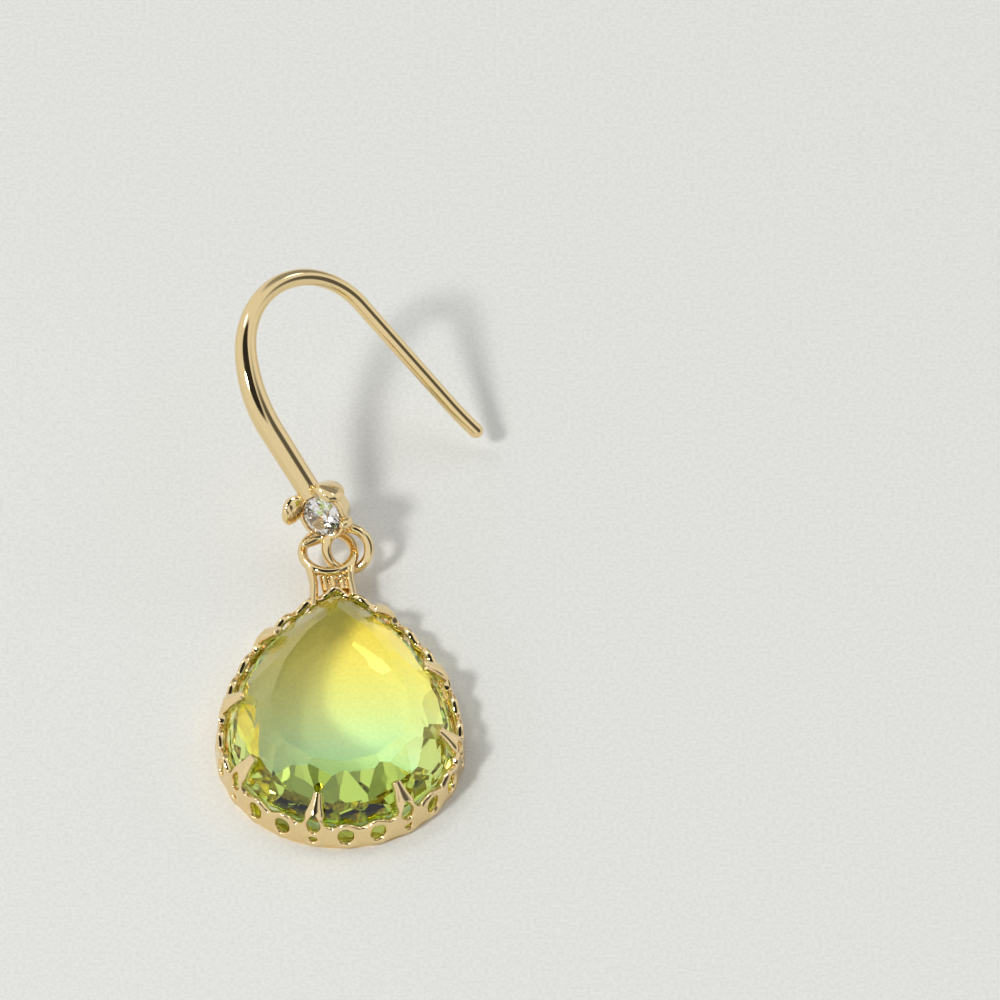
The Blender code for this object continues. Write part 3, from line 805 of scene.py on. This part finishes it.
    def profile(self, s: float) -> tuple[float, float, float]:
        """Course of the outer face: straight, bent in, and straight again over the crown.

        Args:
            s: distance up the face.

        Returns:
            Inset and height there, and the lean in radians.
        """
        lean = math.radians(self.wall_lean)
        straight = min(s, self.bend_start)
        inset = straight * math.sin(lean)
        height = straight * math.cos(lean)
        bend = self.bend_length / (self.crown_lean - lean)
        turned_by = lean + min(max(s - self.bend_start, 0.0), self.bend_length) / bend
        inset += bend * (math.cos(lean) - math.cos(turned_by))
        height += bend * (math.sin(turned_by) - math.sin(lean))
        beyond = max(s - self.bend_start - self.bend_length, 0.0)
        return inset + beyond * math.sin(turned_by), height + beyond * math.cos(turned_by), turned_by

    def thickness(self, s: float) -> float:
        """Thickness of the metal, which thins towards a claw's tip."""
        share = max(s - self.scallop, 0.0) / (self.claw_top - self.scallop)
        return self.wall + (self.claw_tip_thickness - self.wall) * share

    def ridge(self, u: float, s: float) -> float:
        """Height of the ridge down the middle of a claw.

        Args:
            u: distance along the foot.
            s: distance up the face.

        Returns:
            The height, 0 off the claws.
        """
        rise = (s - self.shoulder + self.ridge_lead) / (self.claw_top - self.shoulder + self.ridge_lead)
        if rise <= 0.0:
            return 0.0
        cell = (u / self.pitch - self.first_step + 0.5) % self.cells
        if int(cell) not in self.claw_cells:
            return 0.0
        off = abs(cell % 1.0 - 0.5) * self.pitch
        half = self.pitch / 4 * (1 - min(rise, 1.0)) + self.claw_tip_width
        swell = ease(rise * self.ridge_swell)
        return self.claw_ridge * swell * (1 - self.ridge_fade * rise) * max(0.0, 1 - off / half)

    def on_wall(self, u: float, s: float, depth: float) -> Vector:
        """Point in space at a depth below the outer face.

        Args:
            u: distance along the foot.
            s: distance up the face.
            depth: how far below the face; below 0 it stands proud.

        Returns:
            The point, from the round end.
        """
        inset, height, lean = self.profile(s)
        grow = self.foot_grow - inset - depth * math.cos(lean)
        angle = self.pear.angle_at(u, self.foot_grow)
        plan = self.pear.at(angle, max(grow, 0.0))
        if grow < 0.0:
            plan += bearing(angle) * grow
        return Vector((plan.x, plan.y, height - depth * math.sin(lean)))

    def spot(self, u: float, s: float) -> int:
        """Point of the sheet, made once.

        Args:
            u: distance along the foot.
            s: distance up the face.

        Returns:
            The point's index.
        """
        key = (round(u % self.around, 4) % round(self.around, 4), round(s, 4))
        if key not in self.keys:
            self.keys[key] = len(self.spots)
            self.spots.append((u, s))
        return self.keys[key]

    def frame_hole(self, rim: list[int], hole: list[int]) -> None:
        """Add the faces between a rim and a hole.

        Args:
            rim: spots round the outside.
            hole: as many spots round the hole.
        """
        for k in range(len(rim)):
            after = (k + 1) % len(rim)
            self.sheet.append((rim[k], rim[after], hole[after], hole[k]))

    def oval_hole(self, centre: float, count: int, half_width: float, low: float, high: float,
                  first: float = 0.0, point: float = 0.0) -> list[int]:
        """Spots round an oval or tear-shaped hole.

        Args:
            centre: the hole's middle along the foot.
            count: how many spots.
            half_width: half its width.
            low: its lowest s.
            high: its highest s.
            first: angle of the first spot, in radians.
            point: how far its top narrows to a tear.

        Returns:
            The spots, counted upward from the first angle.
        """
        spots = []
        for k in range(count):
            turn = first + math.tau * k / count
            narrow = 1.0 - point * max(math.sin(turn), 0.0)
            spots.append(self.spot(centre + half_width * math.cos(turn) * narrow,
                                   (low + high) / 2 + (high - low) / 2 * math.sin(turn)))
        return spots

    def edge(self, centre: float, heights: Sequence[float]) -> list[int]:
        """Spots a quarter of a cell apart, right to left."""
        return [self.spot(centre + self.pitch * (0.25 - 0.25 * k), height)
                for k, height in enumerate(heights)]

    def add_cell(self, index: int) -> None:
        """Add one scallop: pierced, plain, or with a claw.

        Args:
            index: the scallop's number.
        """
        centre = (index + self.first_step) * self.pitch
        half = self.pitch / 2
        right = [self.spot(centre + half, s) for s in (self.foot_high, self.hole_height, self.valley)]
        left = [self.spot(centre - half, s) for s in (self.valley, self.hole_height, self.foot_high)]
        slope = self.valley + (self.scallop - self.valley) * self.scallop_slope
        is_claw = index in self.claw_cells
        top = (self.shoulder, self.root, self.shoulder) if is_claw else (slope, self.scallop, slope)
        above = self.edge(centre, top)
        foot = (self.foot_low + self.foot_high) / 2
        below = list(reversed(self.edge(centre, (foot, self.foot_low, foot))))
        if is_claw:
            waist = self.edge(centre, (self.hole_height,) * 3)
            upper = [right[1], right[2], *above, left[0], left[1], *reversed(waist)]
            start = -math.pi / len(upper)
            self.frame_hole(upper, self.oval_hole(centre, len(upper), self.tear_half_width,
                                                  self.hole_height + self.tear_over_waist,
                                                  self.root - self.tear_under_root,
                                                  start, self.tear_narrowing))
            lower = [right[1], *waist, left[1], left[2], *below, right[0]]
            middle = (self.foot_high + self.hole_height) / 2
            self.frame_hole(lower, self.oval_hole(centre, len(lower), self.foot_hole_radius,
                                                  middle - self.foot_hole_radius,
                                                  middle + self.foot_hole_radius, -start))
            self.add_claw(centre, above)
            return
        rim = [right[1], right[2], *above, left[0], left[1], left[2], *below, right[0]]
        if index in self.plain_cells:
            middle_spot = self.spot(centre, self.hole_height)
            for k, spot in enumerate(rim):
                self.sheet.append((spot, rim[(k + 1) % len(rim)], middle_spot))
            return
        self.frame_hole(rim, self.oval_hole(centre, len(rim), (self.pitch - self.hole_post) / 2,
                                            self.foot_low + self.hole_frame,
                                            self.scallop - self.hole_frame))

    def add_claw(self, centre: float, root: list[int]) -> None:
        """Add a claw that narrows from the top of its cell to its tip.

        Args:
            centre: the claw's middle along the foot.
            root: the three spots that it grows from.
        """
        before = root
        shares = [row / self.claw_rows for row in range(1, self.claw_rows)]
        for share in (*shares, self.claw_last_row, 1.0):
            half = self.pitch / 4 * (1 - share) ** 2 + self.claw_tip_width / 2
            side = self.shoulder + (self.claw_top - self.shoulder) * share
            here = [self.spot(centre + half, side),
                    self.spot(centre, self.root + (self.claw_top - self.root) * share),
                    self.spot(centre - half, side)]
            for k in (0, 1):
                self.sheet.append((before[k], before[k + 1], here[k + 1], here[k]))
            before = here

    def soft_sheet(self) -> tuple[list[tuple[float, float]], list[Face]]:
        """Draw all the scallops and soften the sheet, rolled up so that its ends meet.

        Returns:
            The softened sheet's points as (u, s), and its faces.
        """
        for index in range(self.cells):
            self.add_cell(index)
        roll = self.around / math.tau
        rolled = Shell([Vector((roll * math.cos(u / roll), roll * math.sin(u / roll), s))
                        for u, s in self.spots], self.sheet)
        cylinder = mesh_object("sheet", rolled)
        round_off(cylinder, self.sheet_rounds)
        flat = []
        for vertex in cylinder.data.vertices:
            flat.append((math.atan2(vertex.co.y, vertex.co.x) * roll, vertex.co.z))
        faces = [tuple(polygon.vertices) for polygon in cylinder.data.polygons]
        bpy.data.objects.remove(cylinder)
        return flat, faces

    def wall_shell(self) -> bpy.types.Object:
        """Wrap the soft sheet round the pear, thicken it and soften it again.

        Returns:
            The wall with its claws, in millimetres.
        """
        flat, faces = self.soft_sheet()
        count = len(flat)
        points = [self.on_wall(u, s, -self.ridge(u, s)) for u, s in flat]
        points += [self.on_wall(u, s, self.thickness(s)) for u, s in flat]
        closed = list(faces)
        closed += [tuple(index + count for index in reversed(face)) for face in faces]
        uses: dict[frozenset[int], list[tuple[int, int]]] = {}
        for face in faces:
            for a, b in zip(face, face[1:] + face[:1]):
                uses.setdefault(frozenset((a, b)), []).append((a, b))
        for edges in uses.values():
            if len(edges) == 1:
                a, b = edges[0]
                closed.append((b, a, a + count, b + count))
        shell = mesh_object("pendant_gallery", Shell(points, closed).placed(self.place))
        round_off(shell, self.wall_rounds)
        return shell

    def rail_shell(self) -> bpy.types.Object:
        """Flat rail inside the wall's foot, which the pendant stands on.

        Returns:
            The rail, in millimetres.
        """
        outer = self.foot_grow - self.rail_in_wall
        inner = self.rail_inner
        top = self.rail_height
        count = self.rail_steps_per_cell * self.cells
        edge = self.rail_edge
        section = ((outer, 0.0), (outer, top - edge), (outer - edge, top), (edge - inner, top),
                   (-inner, top - edge), (-inner, edge), (edge - inner, 0.0))
        loops = []
        for grow, height in section:
            loop = []
            for k in range(count):
                plan = self.pear.at(self.pear.angle_at(self.around * k / count, self.foot_grow), grow)
                loop.append(self.place @ Vector((plan.x, plan.y, height)))
            loops.append(loop)
        return mesh_object("pendant_rail", skin(loops, closed=True))

    def neck_shell(self) -> bpy.types.Object:
        """Neck with a fluted channel down its face, fused with the ring.

        Returns:
            The neck and ring, in millimetres.
        """
        point = self.pear.length + self.foot_grow
        level = self.ring_height - self.neck_drop
        across, upright = Vector((1, 0, 0)), Vector((0, 0, 1))
        parts = []
        for side in (-1, 1):
            loops = []
            start = self.bar_stagger * side + self.bar_start
            for share, reach, rise in self.bar_stations:
                y = point + start + (self.neck_reach + self.bar_on_ring - start) * share
                x = side * reach - self.bar_shift * (1 - share)
                loops.append(oval(Vector((x, y, level + rise)), across, upright, self.bar_half_width,
                                  self.neck_thickness / 2 - rise * self.bar_thinning, self.neck_sides))
            parts.append(skin(loops))
        for reach, drop, half in self.ribs:
            loops = []
            for share in (0.0, 0.5, 1.0):
                y = point - self.rib_start + (self.neck_reach + self.rib_on_ring) * share
                spot = Vector((reach * (1 + self.rib_spread * share), y, level - drop))
                loops.append(oval(spot, across, upright, half, self.neck_thickness / 2 - self.rib_lower,
                                  self.neck_sides))
            parts.append(skin(loops))
        shells = [part.placed(self.place @ self.leaning) for part in parts]
        ring = wire_ring(self.ring_centre(), upright, self.ring_radius, self.ring_wire)
        return melt_together("pendant_neck", [*shells, ring.placed(self.place)], self.neck_voxel,
                             self.neck_rounds)

    def install(self, gold: bpy.types.Material) -> None:
        """Build and dress the setting's pieces.

        Args:
            gold: the plate's material.
        """
        wall = Piece(self.wall_shell(), gold, Slot.GOLD, ("pendant_setting",), sharp_degrees=SOFT_EDGE)
        wall.install()
        Piece(self.rail_shell(), gold, Slot.GOLD).install()
        Piece(self.neck_shell(), gold, Slot.GOLD, sharp_degrees=NO_EDGE).install()


@dataclass
class EarHook:
    """Ear wire with its cup, four claws and eye ring."""

    pendant: Pendant
    stone_radius: float = 1.1
    pavilion: float = 0.84
    seat_clearance: float = 0.10
    cup_wall: float = 0.22
    cup_below: float = 0.45
    cup_roll: float = 18.0
    cup_foot: float = 1.05
    cup_shoulder: float = 0.25
    cup_rim: float = 0.05
    cup_sides: int = 64
    # The cup's profile stops this short of its axis, underneath and in the seat
    cup_hub: float = 0.05
    seat_hub: float = 0.10
    # The four claws: the two towards the wire are broad leaves, the two towards the eye narrow
    prong_out: float = 0.05
    upper_pitch: float = 0.70
    lower_pitch: float = 0.58
    prong_rise: float = 0.90
    upper_width: float = 1.85
    lower_width: float = 0.76
    upper_thickness: float = 0.86
    lower_thickness: float = 0.70
    prong_root_out: float = 0.17
    # Width of a claw from its root to its tip, as shares of its full width
    prong_sizes: tuple[float, ...] = (0.72, 0.86, 0.96, 1.0, 0.98, 0.92, 0.78, 0.42)
    prong_steps: int = 28
    prong_sides: int = 20
    eye_radius: float = 1.14
    eye_wire: float = 0.54
    eye_overlap: float = 0.30
    eye_back: float = 0.35
    eye_turn: float = 60.0
    # The wire's runs: straight shank, slight bow, crown, straight tail and a kick at its end
    shank: float = 4.1
    heading: float = -36.5
    shank_back: float = 0.23
    bow_radius: float = 7.5
    bow_turn: float = 33.9
    crown_radius: float = 4.3
    crown_turn: float = 135.0
    tail: float = 7.2
    kick: float = 2.2
    kick_turn: float = -6.0
    # The wire's width at shares of its length
    shares: tuple[float, ...] = (0.0, 0.18, 0.45, 0.62, 1.0)
    widths: tuple[float, ...] = (1.28, 1.355, 0.972, 0.852, 0.792)
    step: float = 0.12
    sides: int = 36
    # The rounded tip: its sections and the turn between them
    tip_steps: int = 8
    tip_turn: float = 10.6
    # The wire's end inside the head: its stations, and its radius as a share of the wire's width
    root_stations: int = 12
    root_share: float = 0.48
    root_sides: int = 24
    head_voxel: float = 0.036
    head_rounds: int = 10
    # Centre of the eye ring from that of the pendant's ring, in radii of the latter
    link: tuple[float, float, float] = (0.74, 0.015, 0.165)
    # How far the hook has rolled over, about X, Y and Z
    tilt: tuple[float, float, float] = (30.7, 27.0, 16.7)

    def __post_init__(self) -> None:
        """Work out the cup's frame and where the hook stands."""
        self.seat = self.stone_radius + self.seat_clearance
        self.cup = self.seat + self.cup_wall
        self.depth = self.pavilion + self.cup_below
        up = ahead(math.radians(self.heading))
        across = Matrix.Rotation(math.radians(self.cup_roll), 3, up) @ Vector((0.0, 0.0, 1.0))
        self.cup_frame = Matrix((across, up, across.cross(up))).transposed().to_4x4()
        ring = self.pendant.place @ self.pendant.ring_centre()
        eye = ring + Vector(self.link) * self.pendant.ring_radius
        turn = Euler([math.radians(angle) for angle in self.tilt]).to_matrix().to_4x4()
        self.place = Matrix.Translation(eye - turn @ self.eye_centre()) @ turn

    def eye_centre(self) -> Vector:
        """Centre of the eye ring at the cup's lower end."""
        return self.cup_frame @ Vector((0.0, self.eye_overlap - self.cup - self.eye_radius, -self.eye_back))

    def stations(self) -> list[Station]:
        """Follow the ear wire's middle line.

        Returns:
            The stations from the cup to the tip.
        """
        heading = math.radians(self.heading)
        spot = self.cup_frame @ Vector((0.0, self.seat, -self.shank_back))
        runs = ((self.shank, 0.0), (self.bow_radius * math.radians(self.bow_turn), self.bow_turn),
                (self.crown_radius * math.radians(self.crown_turn), self.crown_turn),
                (self.tail, 0.0), (self.kick, self.kick_turn))
        whole = sum(length for length, _ in runs)
        gone = 0.0
        stations = [(spot, heading, self.widths[0])]
        for length, turn in runs:
            steps = math.ceil(length / self.step)
            for _ in range(steps):
                heading += math.radians(turn) / steps / 2
                spot = spot + ahead(heading) * (length / steps)
                heading += math.radians(turn) / steps / 2
                gone += length / steps
                stations.append((spot, heading, table_value(self.shares, self.widths, gone / whole)))
        return stations

    def round_sections(self, stations: Sequence[Station], share: float, sides: int) -> list[list[Vector]]:
        """Round sections across the ear wire.

        Args:
            stations: where the sections are.
            share: a section's radius, as a share of the wire's width there.
            sides: points of a section.

        Returns:
            A loop for each station.
        """
        upright = Vector((0.0, 0.0, 1.0))
        loops = []
        for spot, heading, width in stations:
            across = Vector((math.cos(heading), -math.sin(heading), 0.0))
            loops.append(oval(spot, across, upright, width * share, width * share, sides))
        return loops

    def wire_shell(self) -> bpy.types.Object:
        """Tapered round wire with a rounded tip.

        Returns:
            The wire, in millimetres.
        """
        stations = self.stations()
        spot, heading, width = stations[-1]
        forward = ahead(heading)
        for k in range(1, self.tip_steps + 1):
            turn = math.radians(k * self.tip_turn)
            stations.append((spot + forward * (width / 2 * math.sin(turn)), heading, width * math.cos(turn)))
        wire = skin(self.round_sections(stations, 0.5, self.sides))
        return mesh_object("ear_wire", wire.placed(self.place))

    def prong(self, side: int, end: int) -> Shell:
        """Leaf-shaped claw from one end of the cup, out to one side and up past the girdle.

        Args:
            side: -1 or 1 for the side of the cup.
            end: 1 for the end at the wire, -1 for the end at the eye ring.

        Returns:
            The claw, in the hook's own frame.
        """
        reach = self.cup + self.prong_out
        upper = (self.upper_pitch, self.upper_width, self.upper_thickness)
        lower = (self.lower_pitch, self.lower_width, self.lower_thickness)
        pitch, width, thickness = upper if end > 0 else lower
        root = Vector((side * width * self.prong_root_out, end * (self.cup - self.cup_wall / 2),
                       -self.depth / 2))
        knee = Vector((side * reach, end * self.cup * pitch, -self.depth / 4))
        tip = Vector((side * reach, end * self.cup * pitch, self.prong_rise))
        loops = []
        places = [k / (len(self.prong_sizes) - 1) for k in range(len(self.prong_sizes))]
        for k in range(self.prong_steps + 1):
            share = k / self.prong_steps
            size = table_value(places, self.prong_sizes, share)
            spot = root * (1 - share) ** 2 + knee * 2 * share * (1 - share) + tip * share ** 2
            along = ((knee - root) * (1 - share) + (tip - knee) * share).normalized()
            outward = Vector((spot.x, spot.y, 0.0)).normalized()
            across = along.cross(outward).normalized()
            outward = across.cross(along)
            section = oval(spot, across, outward, width / 2 * size, thickness / 2 * size,
                           self.prong_sides)
            loops.append([self.cup_frame @ point for point in section])
        return skin(loops)

    def head_shell(self) -> bpy.types.Object:
        """Cup, claws, eye ring and the wire's end, fused as one casting.

        Returns:
            The head, in millimetres.
        """
        floor = -self.pavilion - self.seat_clearance
        cup = ((self.cup_hub, -self.depth), (self.cup_foot, -self.depth), (self.cup, -self.cup_shoulder),
               (self.cup, self.cup_rim), (self.seat, self.cup_rim), (self.seat, -self.seat_clearance),
               (self.seat_hub, floor))
        shells = [turned(self.cup_frame, cup, self.cup_sides)]
        shells += [self.prong(side, end) for side in (-1, 1) for end in (-1, 1)]
        turn = math.radians(self.eye_turn)
        normal = self.cup_frame.to_3x3() @ Vector((math.cos(turn), 0.0, math.sin(turn)))
        shells.append(wire_ring(self.eye_centre(), normal, self.eye_radius, self.eye_wire))
        shells.append(skin(self.round_sections(self.stations()[:self.root_stations], self.root_share,
                                               self.root_sides)))
        return melt_together("ear_hook_head", [shell.placed(self.place) for shell in shells],
                             self.head_voxel, self.head_rounds)

    def install(self, gold: bpy.types.Material) -> None:
        """Build and dress the hook's pieces."""
        Piece(self.wire_shell(), gold, Slot.GOLD, ("ear_hook",)).install()
        Piece(self.head_shell(), gold, Slot.GOLD, sharp_degrees=NO_EDGE).install()


@dataclass(frozen=True)
class FacetTier:
    """Row of flat facets, cut one after another round the stone.

    Each lies on a plane through a point at an inset from the outline and at a height, and
    leans outward by its slope, past 90 degrees on the crown.
    """

    count: int
    first_degrees: float
    inset: float
    height: float
    slope: float


@dataclass
class PearStone:
    """Pear cut: the frame's outline and table, with four tiers of facets below and two above."""

    pendant: Pendant
    tiers: tuple[FacetTier, ...] = (
        # Under the girdle, down to the culet
        FacetTier(34, 3.0, 0.0, 1.49, 52.0),
        FacetTier(24, 8.0, 0.42, 0.952, 36.0),
        FacetTier(17, -4.0, 0.95, 0.567, 20.0),
        FacetTier(11, 10.0, 1.25, 0.458, 9.5),
        # On the crown, next to the girdle and round the table
        FacetTier(30, 5.0, 0.34, 2.03, 120.0),
        FacetTier(15, 14.0, 1.72, 3.49, 147.0))
    # Points nearer than this are one: in the frame's stone, at a cut, and at the end
    weld: float = 0.001
    cut_weld: float = 0.0005
    last_weld: float = 0.002
    # Points this far under the girdle belong to the old pavilion
    under_girdle: float = 0.01
    # The outline is grown by a hair, so that its point has a length to walk along
    hair: float = 0.001

    def crown(self) -> bmesh.types.BMesh:
        """Take the frame's stone above its girdle, with a straight block below.

        Returns:
            The block that the facets are cut from, from the pendant's round end.
        """
        work = bmesh.new()
        work.from_mesh(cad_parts["pear_stone"].data)
        work.transform(self.pendant.place.inverted() @ Matrix.Scale(1 / MM, 4))
        bmesh.ops.remove_doubles(work, verts=work.verts, dist=self.weld)
        under = self.pendant.girdle_height
        below = [vertex for vertex in work.verts if vertex.co.z < under - self.under_girdle]
        bmesh.ops.delete(work, geom=below, context="VERTS")
        rim = [edge for edge in work.edges if edge.is_boundary]
        skirt = bmesh.ops.extrude_edge_only(work, edges=rim)["geom"]
        foot = [item for item in skirt if isinstance(item, bmesh.types.BMVert)]
        for vertex in foot:
            vertex.co.z = self.pendant.culet[2]
        bmesh.ops.holes_fill(work, edges=[edge for edge in work.edges if edge.is_boundary])
        return work

    def build(self, name: str) -> bpy.types.Object:
        """Cut the tiers, one plane after another.

        Args:
            name: the object's name.

        Returns:
            The stone, in millimetres.
        """
        work = self.crown()
        pear = self.pendant.pear
        around = 2 * pear.half_length(0.0)
        for tier in self.tiers:
            steep = math.radians(tier.slope)
            for k in range(tier.count):
                angle = pear.angle_at(around * (k / tier.count + tier.first_degrees / 360), self.hair)
                plan = pear.at(angle)
                out = bearing(angle).to_3d()
                normal = out * math.sin(steep) - Vector((0.0, 0.0, math.cos(steep)))
                spot = Vector((plan.x, plan.y, tier.height)) - out * tier.inset
                geometry = list(work.verts) + list(work.edges) + list(work.faces)
                cut = bmesh.ops.bisect_plane(work, geom=geometry, dist=self.cut_weld, plane_co=spot,
                                             plane_no=normal, clear_outer=True)["geom_cut"]
                edges = [item for item in cut if isinstance(item, bmesh.types.BMEdge)]
                bmesh.ops.holes_fill(work, edges=edges)
        bmesh.ops.remove_doubles(work, verts=work.verts, dist=self.last_weld)
        bmesh.ops.recalc_face_normals(work, faces=work.faces)
        work.transform(self.pendant.place)
        mesh = bpy.data.meshes.new(name)
        work.to_mesh(mesh)
        work.free()
        stone = bpy.data.objects.new(name, mesh)
        bpy.context.scene.collection.objects.link(stone)
        return stone

    def install(self, crystal: bpy.types.Material) -> None:
        """Build and dress the stone."""
        stone = Piece(self.build("pear_stone_cut"), crystal, Slot.GREEN, ("pear_stone",), faceted=True)
        stone.install()


@dataclass(frozen=True)
class Panel:
    """Soft-edged patch of the room round the earring, by its direction."""

    direction: tuple[float, float, float]
    half_degrees: float
    soft_degrees: float
    radiance: float


@dataclass(frozen=True)
class StudioLight:
    """A soft box, placed by the direction that it shines from."""

    name: str
    direction: tuple[float, float, float]
    distance_mm: float
    size_mm: tuple[float, float]
    power: float
    colour: str = "FFFFFF"

    def install(self, target: Vector) -> None:
        """Hang the light and point it at the target.

        Args:
            target: where it points, in metres.
        """
        data = bpy.data.lights.new(self.name, "AREA")
        data.shape = "RECTANGLE"
        data.size = self.size_mm[0] * MM
        data.size_y = self.size_mm[1] * MM
        data.energy = self.power
        data.color = linear(self.colour)[:3]
        light = bpy.data.objects.new(self.name, data)
        toward = Vector(self.direction).normalized()
        light.location = target + toward * self.distance_mm * MM
        light.rotation_euler = toward.to_track_quat("Z", "Y").to_euler()
        bpy.context.scene.collection.objects.link(light)


@dataclass
class Studio:
    """Floor, lights, surroundings and camera."""

    image_px: int = 1000
    pixels_per_mm: float = 18.8
    elevation: float = 50.0
    # Where the pendant's round end lies in the photograph
    round_end_px: tuple[float, float] = (343.5, 839.5)
    distance_mm: float = 2500.0
    sensor_mm: float = 36.0
    # Nearest and farthest that the camera sees, in metres
    clip_m: tuple[float, float] = (0.01, 20.0)
    floor_mm: float = 4000.0
    # A bright tent with a dull side, the dark gap for the lens, a dimmer back and two small lamps
    room: float = 0.84
    panels: tuple[Panel, ...] = (
        Panel((0.78, -0.40, 0.42), 25.0, 12.0, 0.12),
        Panel((-0.10, -0.34, 0.93), 29.0, 7.0, 0.03),
        Panel((0.30, 0.85, 0.45), 26.0, 16.0, 0.30),
        Panel((-0.45, 0.30, 0.84), 6.0, 1.6, 7.0),
        Panel((0.60, 0.50, 0.62), 5.0, 2.0, 4.0),
    )
    # One small light far off, so that the card is evenly lit and the shadows are firm
    lights: tuple[StudioLight, ...] = (
        StudioLight("key", (-0.74, -0.64, 1.0), 1400.0, (190.0, 190.0), 9.2, "FFFEFB"),
    )

    def install_floor(self, card: bpy.types.Material) -> None:
        """Lay the pale card under the earring.

        Args:
            card: the card's material.
        """
        half = self.floor_mm / 2
        corners = ((-half, -half), (half, -half), (half, half), (-half, half))
        points = [Vector((x, y, 0.0)) for x, y in corners]
        floor = mesh_object("floor", Shell(points, [(0, 1, 2, 3)]))
        floor.data.transform(Matrix.Scale(MM, 4))
        floor.data.materials.append(card)

    def install_lights(self, target: Vector) -> None:
        """Hang the light, and set up the tent with its patches round the earring.

        Args:
            target: where the light points, in metres.
        """
        for light in self.lights:
            light.install(target)
        world = bpy.data.worlds.new("room")
        world.use_nodes = True
        tree = world.node_tree
        tree.nodes.clear()
        toward = add_node(tree, "TexCoord").outputs["Generated"]
        total = add_node(tree, "Value").outputs["Value"]
        total.default_value = self.room
        for panel in self.panels:
            near = add_node(tree, "VectorMath", {1: Vector(panel.direction).normalized()}, {0: toward},
                            operation="DOT_PRODUCT")
            outer = math.cos(math.radians(panel.half_degrees + panel.soft_degrees / 2))
            inner = math.cos(math.radians(panel.half_degrees - panel.soft_degrees / 2))
            total = add_node(tree, "MapRange", {"From Min": outer, "From Max": inner,
                                                "To Max": panel.radiance},
                             {"Value": near.outputs["Value"], "To Min": total},
                             interpolation_type="SMOOTHSTEP").outputs["Result"]
        shade = add_node(tree, "Background", links={"Color": total})
        add_node(tree, "OutputWorld", links={"Surface": shade.outputs["Background"]})
        bpy.context.scene.world = world

    def install_camera(self, pendant: Pendant) -> None:
        """Set up a long lens at the photograph's angle, framed by the pendant's round end.

        Args:
            pendant: the pendant, which knows where it stands.
        """
        end = pendant.place.translation
        steep = math.radians(self.elevation)
        centre_px = self.image_px / 2
        right = (centre_px - self.round_end_px[0]) / self.pixels_per_mm
        up = (self.round_end_px[1] - centre_px) / self.pixels_per_mm / math.sin(steep)
        target = Vector((end.x + right, end.y + up, 0.0)) * MM
        data = bpy.data.cameras.new("camera")
        data.sensor_width = self.sensor_mm
        data.lens = self.sensor_mm * self.distance_mm * self.pixels_per_mm / self.image_px
        data.clip_start, data.clip_end = self.clip_m
        camera = bpy.data.objects.new("camera", data)
        away = Vector((0.0, -math.cos(steep), math.sin(steep)))
        camera.location = target + away * self.distance_mm * MM
        camera.rotation_euler = (math.pi / 2 - steep, 0.0, 0.0)
        bpy.context.scene.collection.objects.link(camera)
        bpy.context.scene.camera = camera

    def set_colour(self) -> None:
        """Plain display transform, clean glass and no grain."""
        scene = bpy.context.scene
        scene.view_settings.view_transform = "Standard"
        scene.cycles.use_denoising = True
        scene.cycles.max_bounces = 24
        scene.cycles.transmission_bounces = 20
        scene.cycles.glossy_bounces = 10
        scene.cycles.transparent_max_bounces = 16
        scene.cycles.blur_glossy = 0.2

    def install(self, pendant: Pendant, card: bpy.types.Material) -> None:
        """Set up everything round the earring.

        Args:
            pendant: the pendant that the picture is framed by.
            card: the floor's material.
        """
        self.install_floor(card)
        self.install_lights(Vector((0.0, 0.0, 0.0)))
        self.install_camera(pendant)
        self.set_colour()


def dress_stone(node: str, material: bpy.types.Material) -> None:
    """Give a stone of the frame its cut-crystal material, with flat facets.

    Args:
        node: the stone's name in the frame.
        material: the crystal's material.
    """
    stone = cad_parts[node]
    stone.data.materials.clear()
    stone.data.materials.append(material)
    for polygon in stone.data.polygons:
        polygon.use_smooth = False
    log.info("%s: %d faces", node, len(stone.data.polygons))


def main() -> None:
    """Build the earring's looks and the studio."""
    logging.basicConfig(level=logging.INFO, format="%(message)s")
    gold = GoldPlate().build("gold_plate_polished")
    low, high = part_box("pear_stone")
    dress_stone("hook_stone", ClearCrystal().build("cubic_zirconia"))
    pendant = Pendant()
    pendant.install(gold)
    PearStone(pendant).install(GradientCrystal(low.y, high.y).build("dyed_lead_crystal"))
    EarHook(pendant).install(gold)
    Studio().install(pendant, PaleCard().build("pale_card"))


if __name__ == "__main__":
    main()
